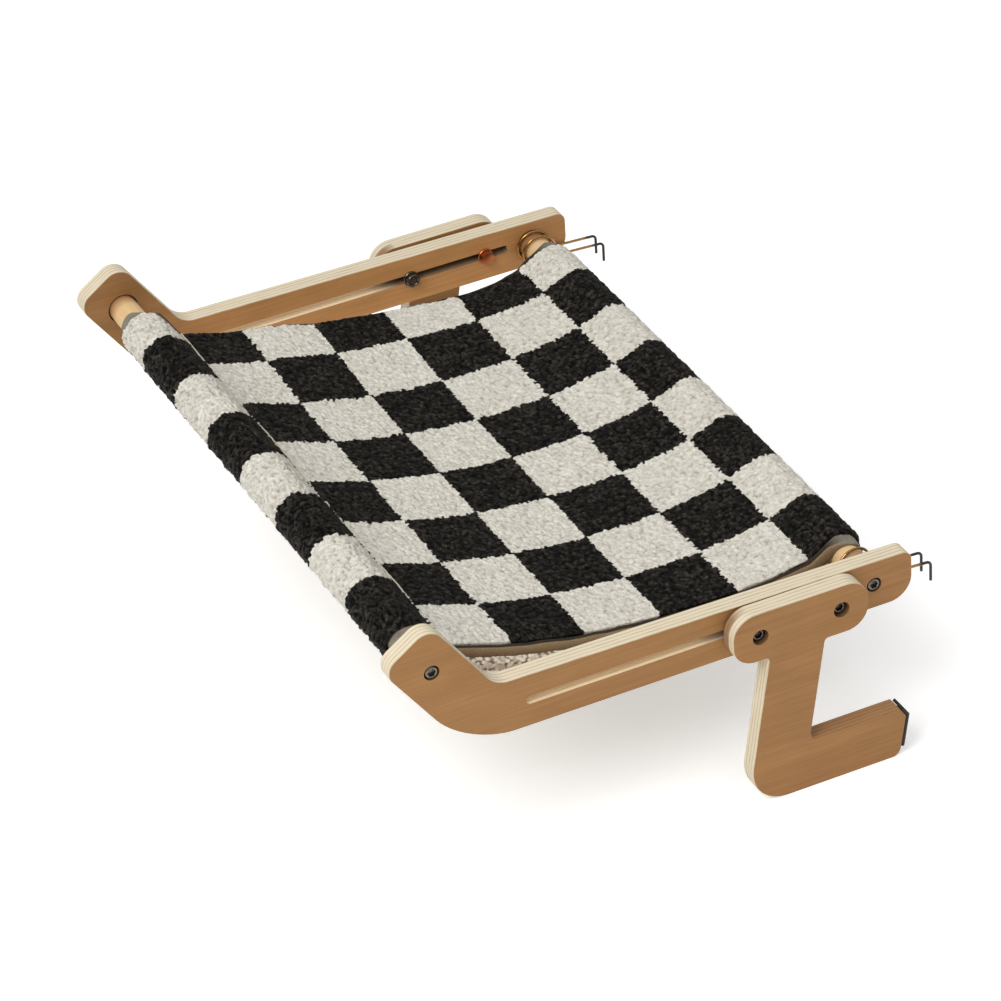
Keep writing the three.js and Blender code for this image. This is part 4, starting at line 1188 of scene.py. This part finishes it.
lining_under = evenly(deck_line(LINING_TOP + LINING_THICKNESS)[::-1], LINING_STEP)
lining_top = evenly(deck_line(LINING_TOP), LINING_STEP)
lining_line = np.concatenate([lining_top, lining_under])
lining_run = lengths(lining_line)
flat_half = LINING_HALF - LINING_ROUND
flat_widths = np.linspace(-flat_half, flat_half, round(2 * flat_half / (1.1 * MM)) + 1)
round_turns = np.linspace(0, 1, 17)[1:]
round_widths = flat_half + LINING_ROUND * np.sin(round_turns * math.pi / 2)
lining_widths = np.concatenate([-round_widths[::-1], flat_widths, round_widths])
round_share = np.concatenate([round_turns[::-1], np.zeros_like(flat_widths), round_turns])[None, :]
lining_u, lining_v = np.meshgrid(lining_run, lining_widths, indexing="ij")
inward = np.minimum(np.abs(lining_v) - flat_half, 0)
pebble_v = np.sign(lining_v) * (flat_half + round_share * ROUND_LENGTH + inward)
pebbles, pebble_shade, *_ = tufts(lining_u, pebble_v, 2.8 * MM, 1.7 * MM, 2.1 * MM, 21)
under = lining_u >= lining_run[len(lining_top)]
drawn_in = np.where(under, 3.0 * MM, 5.0 * MM) * (1 - np.cos(round_share * math.pi / 2))
pebble_rise = (pebbles - 0.6) * 1.5 * MM * np.where(under, 1.0, round_share)
lining_offset = pebble_rise * np.cos(round_share * math.pi / 2) - drawn_in
lining_reach = ramp(np.abs(lining_v), LINING_HALF - 40 * MM, LINING_HALF) * (
    deck_edge(lining_line[:, :1], lining_v) + LINING_BULGE - LINING_HALF)
lining_y = lining_v + np.sign(lining_v) * (lining_reach + pebble_rise * np.sin(round_share * math.pi / 2))
lining = pile_body("plush_underside", lining_line, lining_y, lining_offset,
                   {"tuft_height": pebbles, "tuft_shade": pebble_shade}, [], plush)
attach(lining, "frame")
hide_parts("mat_underside")


# Edge bindings
# Grey-brown polyester tape folded over each side edge of the mat and round the ends of its two sleeves,
# and sewn through. It is soft, wrinkled where it turns, with a fine twill face.

TAPE_UNDER_PILE = 3 * MM
DECK_TAPE_TUCK = 0.7 * MM
DECK_TAPE_PROUD = 3.2 * MM
SLEEVE_TAPE_RADIUS = 10.45 * MM
SLEEVE_TAPE_TAPER = 0.6 * MM
SLEEVE_TAPE_HALF = 0.75 * MM
DECK_TAPE_HALF = 5 * MM
COLLAR_PULL = 7.5 * MM

# Twill tape: dull and finely woven, paler on its upper part as painted light
tape = new_material("folded_twill_tape")
tape_place = object_place(tape)
tape_up = stored(tape, "tape_height")
tape_weave = noise(tape, tape_place, 0.8 * MM, 3.0)
tape_blotch = noise(tape, tape_place, 12 * MM, 2.0)
# Painted light: its upper part is paler than the part below, as if lit from above
tape_lit_share = ranged(tape, tape_up, 0.15, 0.9)
tape_ground = mixed(tape, tape_blotch, "4C3A26", "735C3F")
tape_lit_on_top = mixed(tape, tape_lit_share, tape_ground, "9A8565")
# Along the deck it is brown, with painted shade along its top fold where the pile overhangs it, and round
# the sleeves it is a cooler grey
tape_on_deck = stored(tape, "tape_on_deck")
tape_fold = ranged(tape, tape_up, 0.92, 0.97, to_high=0.95)
tape_folded = mixed(tape, tape_fold, tape_lit_on_top, "1A120B")
tape_greyed = mixed(tape, tape_blotch, "605A4E", "999283")
tape_faded = mixed(tape, tape_on_deck, tape_greyed, tape_folded)
tape_light = ranged(tape, tape_weave, 0.3, 0.7, 0.78, 1.15)
tape_colour = lightened(tape, tape_faded, tape_light)
tape_relief = bumps(tape, tape_weave, 0.3 * MM, 0.6)
finish(tape, {
    "Base Color": tape_colour, "Roughness": 0.85, "Normal": tape_relief, "Sheen Weight": 0.08,
    "Sheen Roughness": 0.5, "Specular IOR Level": 0.25})

tape_front = sleeve_arc(FRONT_AXIS, SLEEVE_TAPE_RADIUS, deck_line(4 * MM)[-1], deck_line(9 * MM)[-1])
tape_rear = sleeve_arc(REAR_AXIS, SLEEVE_TAPE_RADIUS, deck_line(9 * MM)[0], deck_line(4 * MM)[0])
tape_line = evenly(np.concatenate([tape_rear, deck_line(6.6 * MM), tape_front]), 1.5 * MM)
tape_x = tape_line[:, 0]
tape_run = lengths(tape_line)
deck_part = ramp(tape_run, lengths(tape_rear)[-1] - 8 * MM, lengths(tape_rear)[-1] + 8 * MM)
deck_end = tape_run[-1] - lengths(tape_front)[-1]
deck_part *= 1 - ramp(tape_run, deck_end - 8 * MM, deck_end + 8 * MM)
tape_half_heights = SLEEVE_TAPE_HALF + (DECK_TAPE_HALF - SLEEVE_TAPE_HALF) * deck_part

for side_name, side in (("left", 1), ("right", -1)):
    random = np.random.default_rng(31 + side)
    # Random heights 9 mm apart give a wrinkle about every 20 mm, and finer creases run round the sleeves
    knots = np.arange(0, len(tape_line) + 6, 6)
    wrinkle, lean = (
        np.interp(np.arange(len(tape_line)), knots, random.uniform(-0.5, 0.5, len(knots))) * MM
        for _ in range(2))
    creases = np.repeat(random.uniform(-0.5, 0.6, len(tape_line) // 2 + 1), 2)[:len(tape_line)]
    creases = creases * MM * (1 - deck_part)
    edge = deck_edge(tape_x, side)
    pile_end = sleeve_end(tape_x, side, PILE_ENDS) - TAPE_UNDER_PILE
    tape_end = sleeve_end(tape_x, side, TAPE_ENDS)
    if side > 0:
        # The left front collar is pulled in where it meets the deck
        at_front = ramp(tape_x, -292 * MM, -277 * MM) * (tape_x < -200 * MM)
        tape_end = tape_end - COLLAR_PULL * at_front
    tape_inner = pile_end + (edge - DECK_TAPE_TUCK - pile_end) * deck_part
    tape_outer = tape_end + (edge + DECK_TAPE_PROUD - tape_end) * deck_part
    run = np.gradient(tape_line, axis=0)
    run /= np.linalg.norm(run, axis=1, keepdims=True)
    out = np.stack([run[:, 1], -run[:, 0]], 1)
    angles = np.linspace(0, 2 * math.pi, 24, endpoint=False)
    tape_shape = bmesh.new()
    rings, heights, on_deck_shares = [], [], []
    for i, place in enumerate(tape_line):
        ring = []
        half_width = (tape_outer[i] - tape_inner[i]) / 2
        for a in angles:
            up = math.copysign(abs(math.sin(a)) ** 0.6, math.sin(a))
            aside = math.copysign(abs(math.cos(a)) ** 0.6, math.cos(a))
            rise = up * (tape_half_heights[i] + wrinkle[i] * deck_part[i]) + lean[i] * 0.4 * deck_part[i]
            rise += max(up, 0) * creases[i] * (1.2 + aside) / 2
            x, z = place + out[i] * (rise - aside * SLEEVE_TAPE_TAPER * (1 - deck_part[i]))
            y = side * ((tape_inner[i] + tape_outer[i]) / 2 + aside * (half_width + lean[i] * 0.8))
            ring.append(tape_shape.verts.new((x, y, z + side_lift(x, y))))
            heights.append((up + 1) / 2)
            on_deck_shares.append(deck_part[i])
        rings.append(ring)
    for first, second in zip(rings, rings[1:]):
        join_rings(tape_shape, first, second)
    tape_shape.faces.new(rings[0])
    tape_shape.faces.new(rings[-1])
    bmesh.ops.recalc_face_normals(tape_shape, faces=tape_shape.faces)
    binding = piece_from(tape_shape, f"{side_name}_edge_tape", tape)
    binding.data.attributes.new("tape_height", "FLOAT", "POINT").data.foreach_set("value", heights)
    binding.data.attributes.new("tape_on_deck", "FLOAT", "POINT").data.foreach_set("value", on_deck_shares)
    smooth_over(binding, 60)
    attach(binding, "frame")
    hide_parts(f"{side_name}_mat_binding")
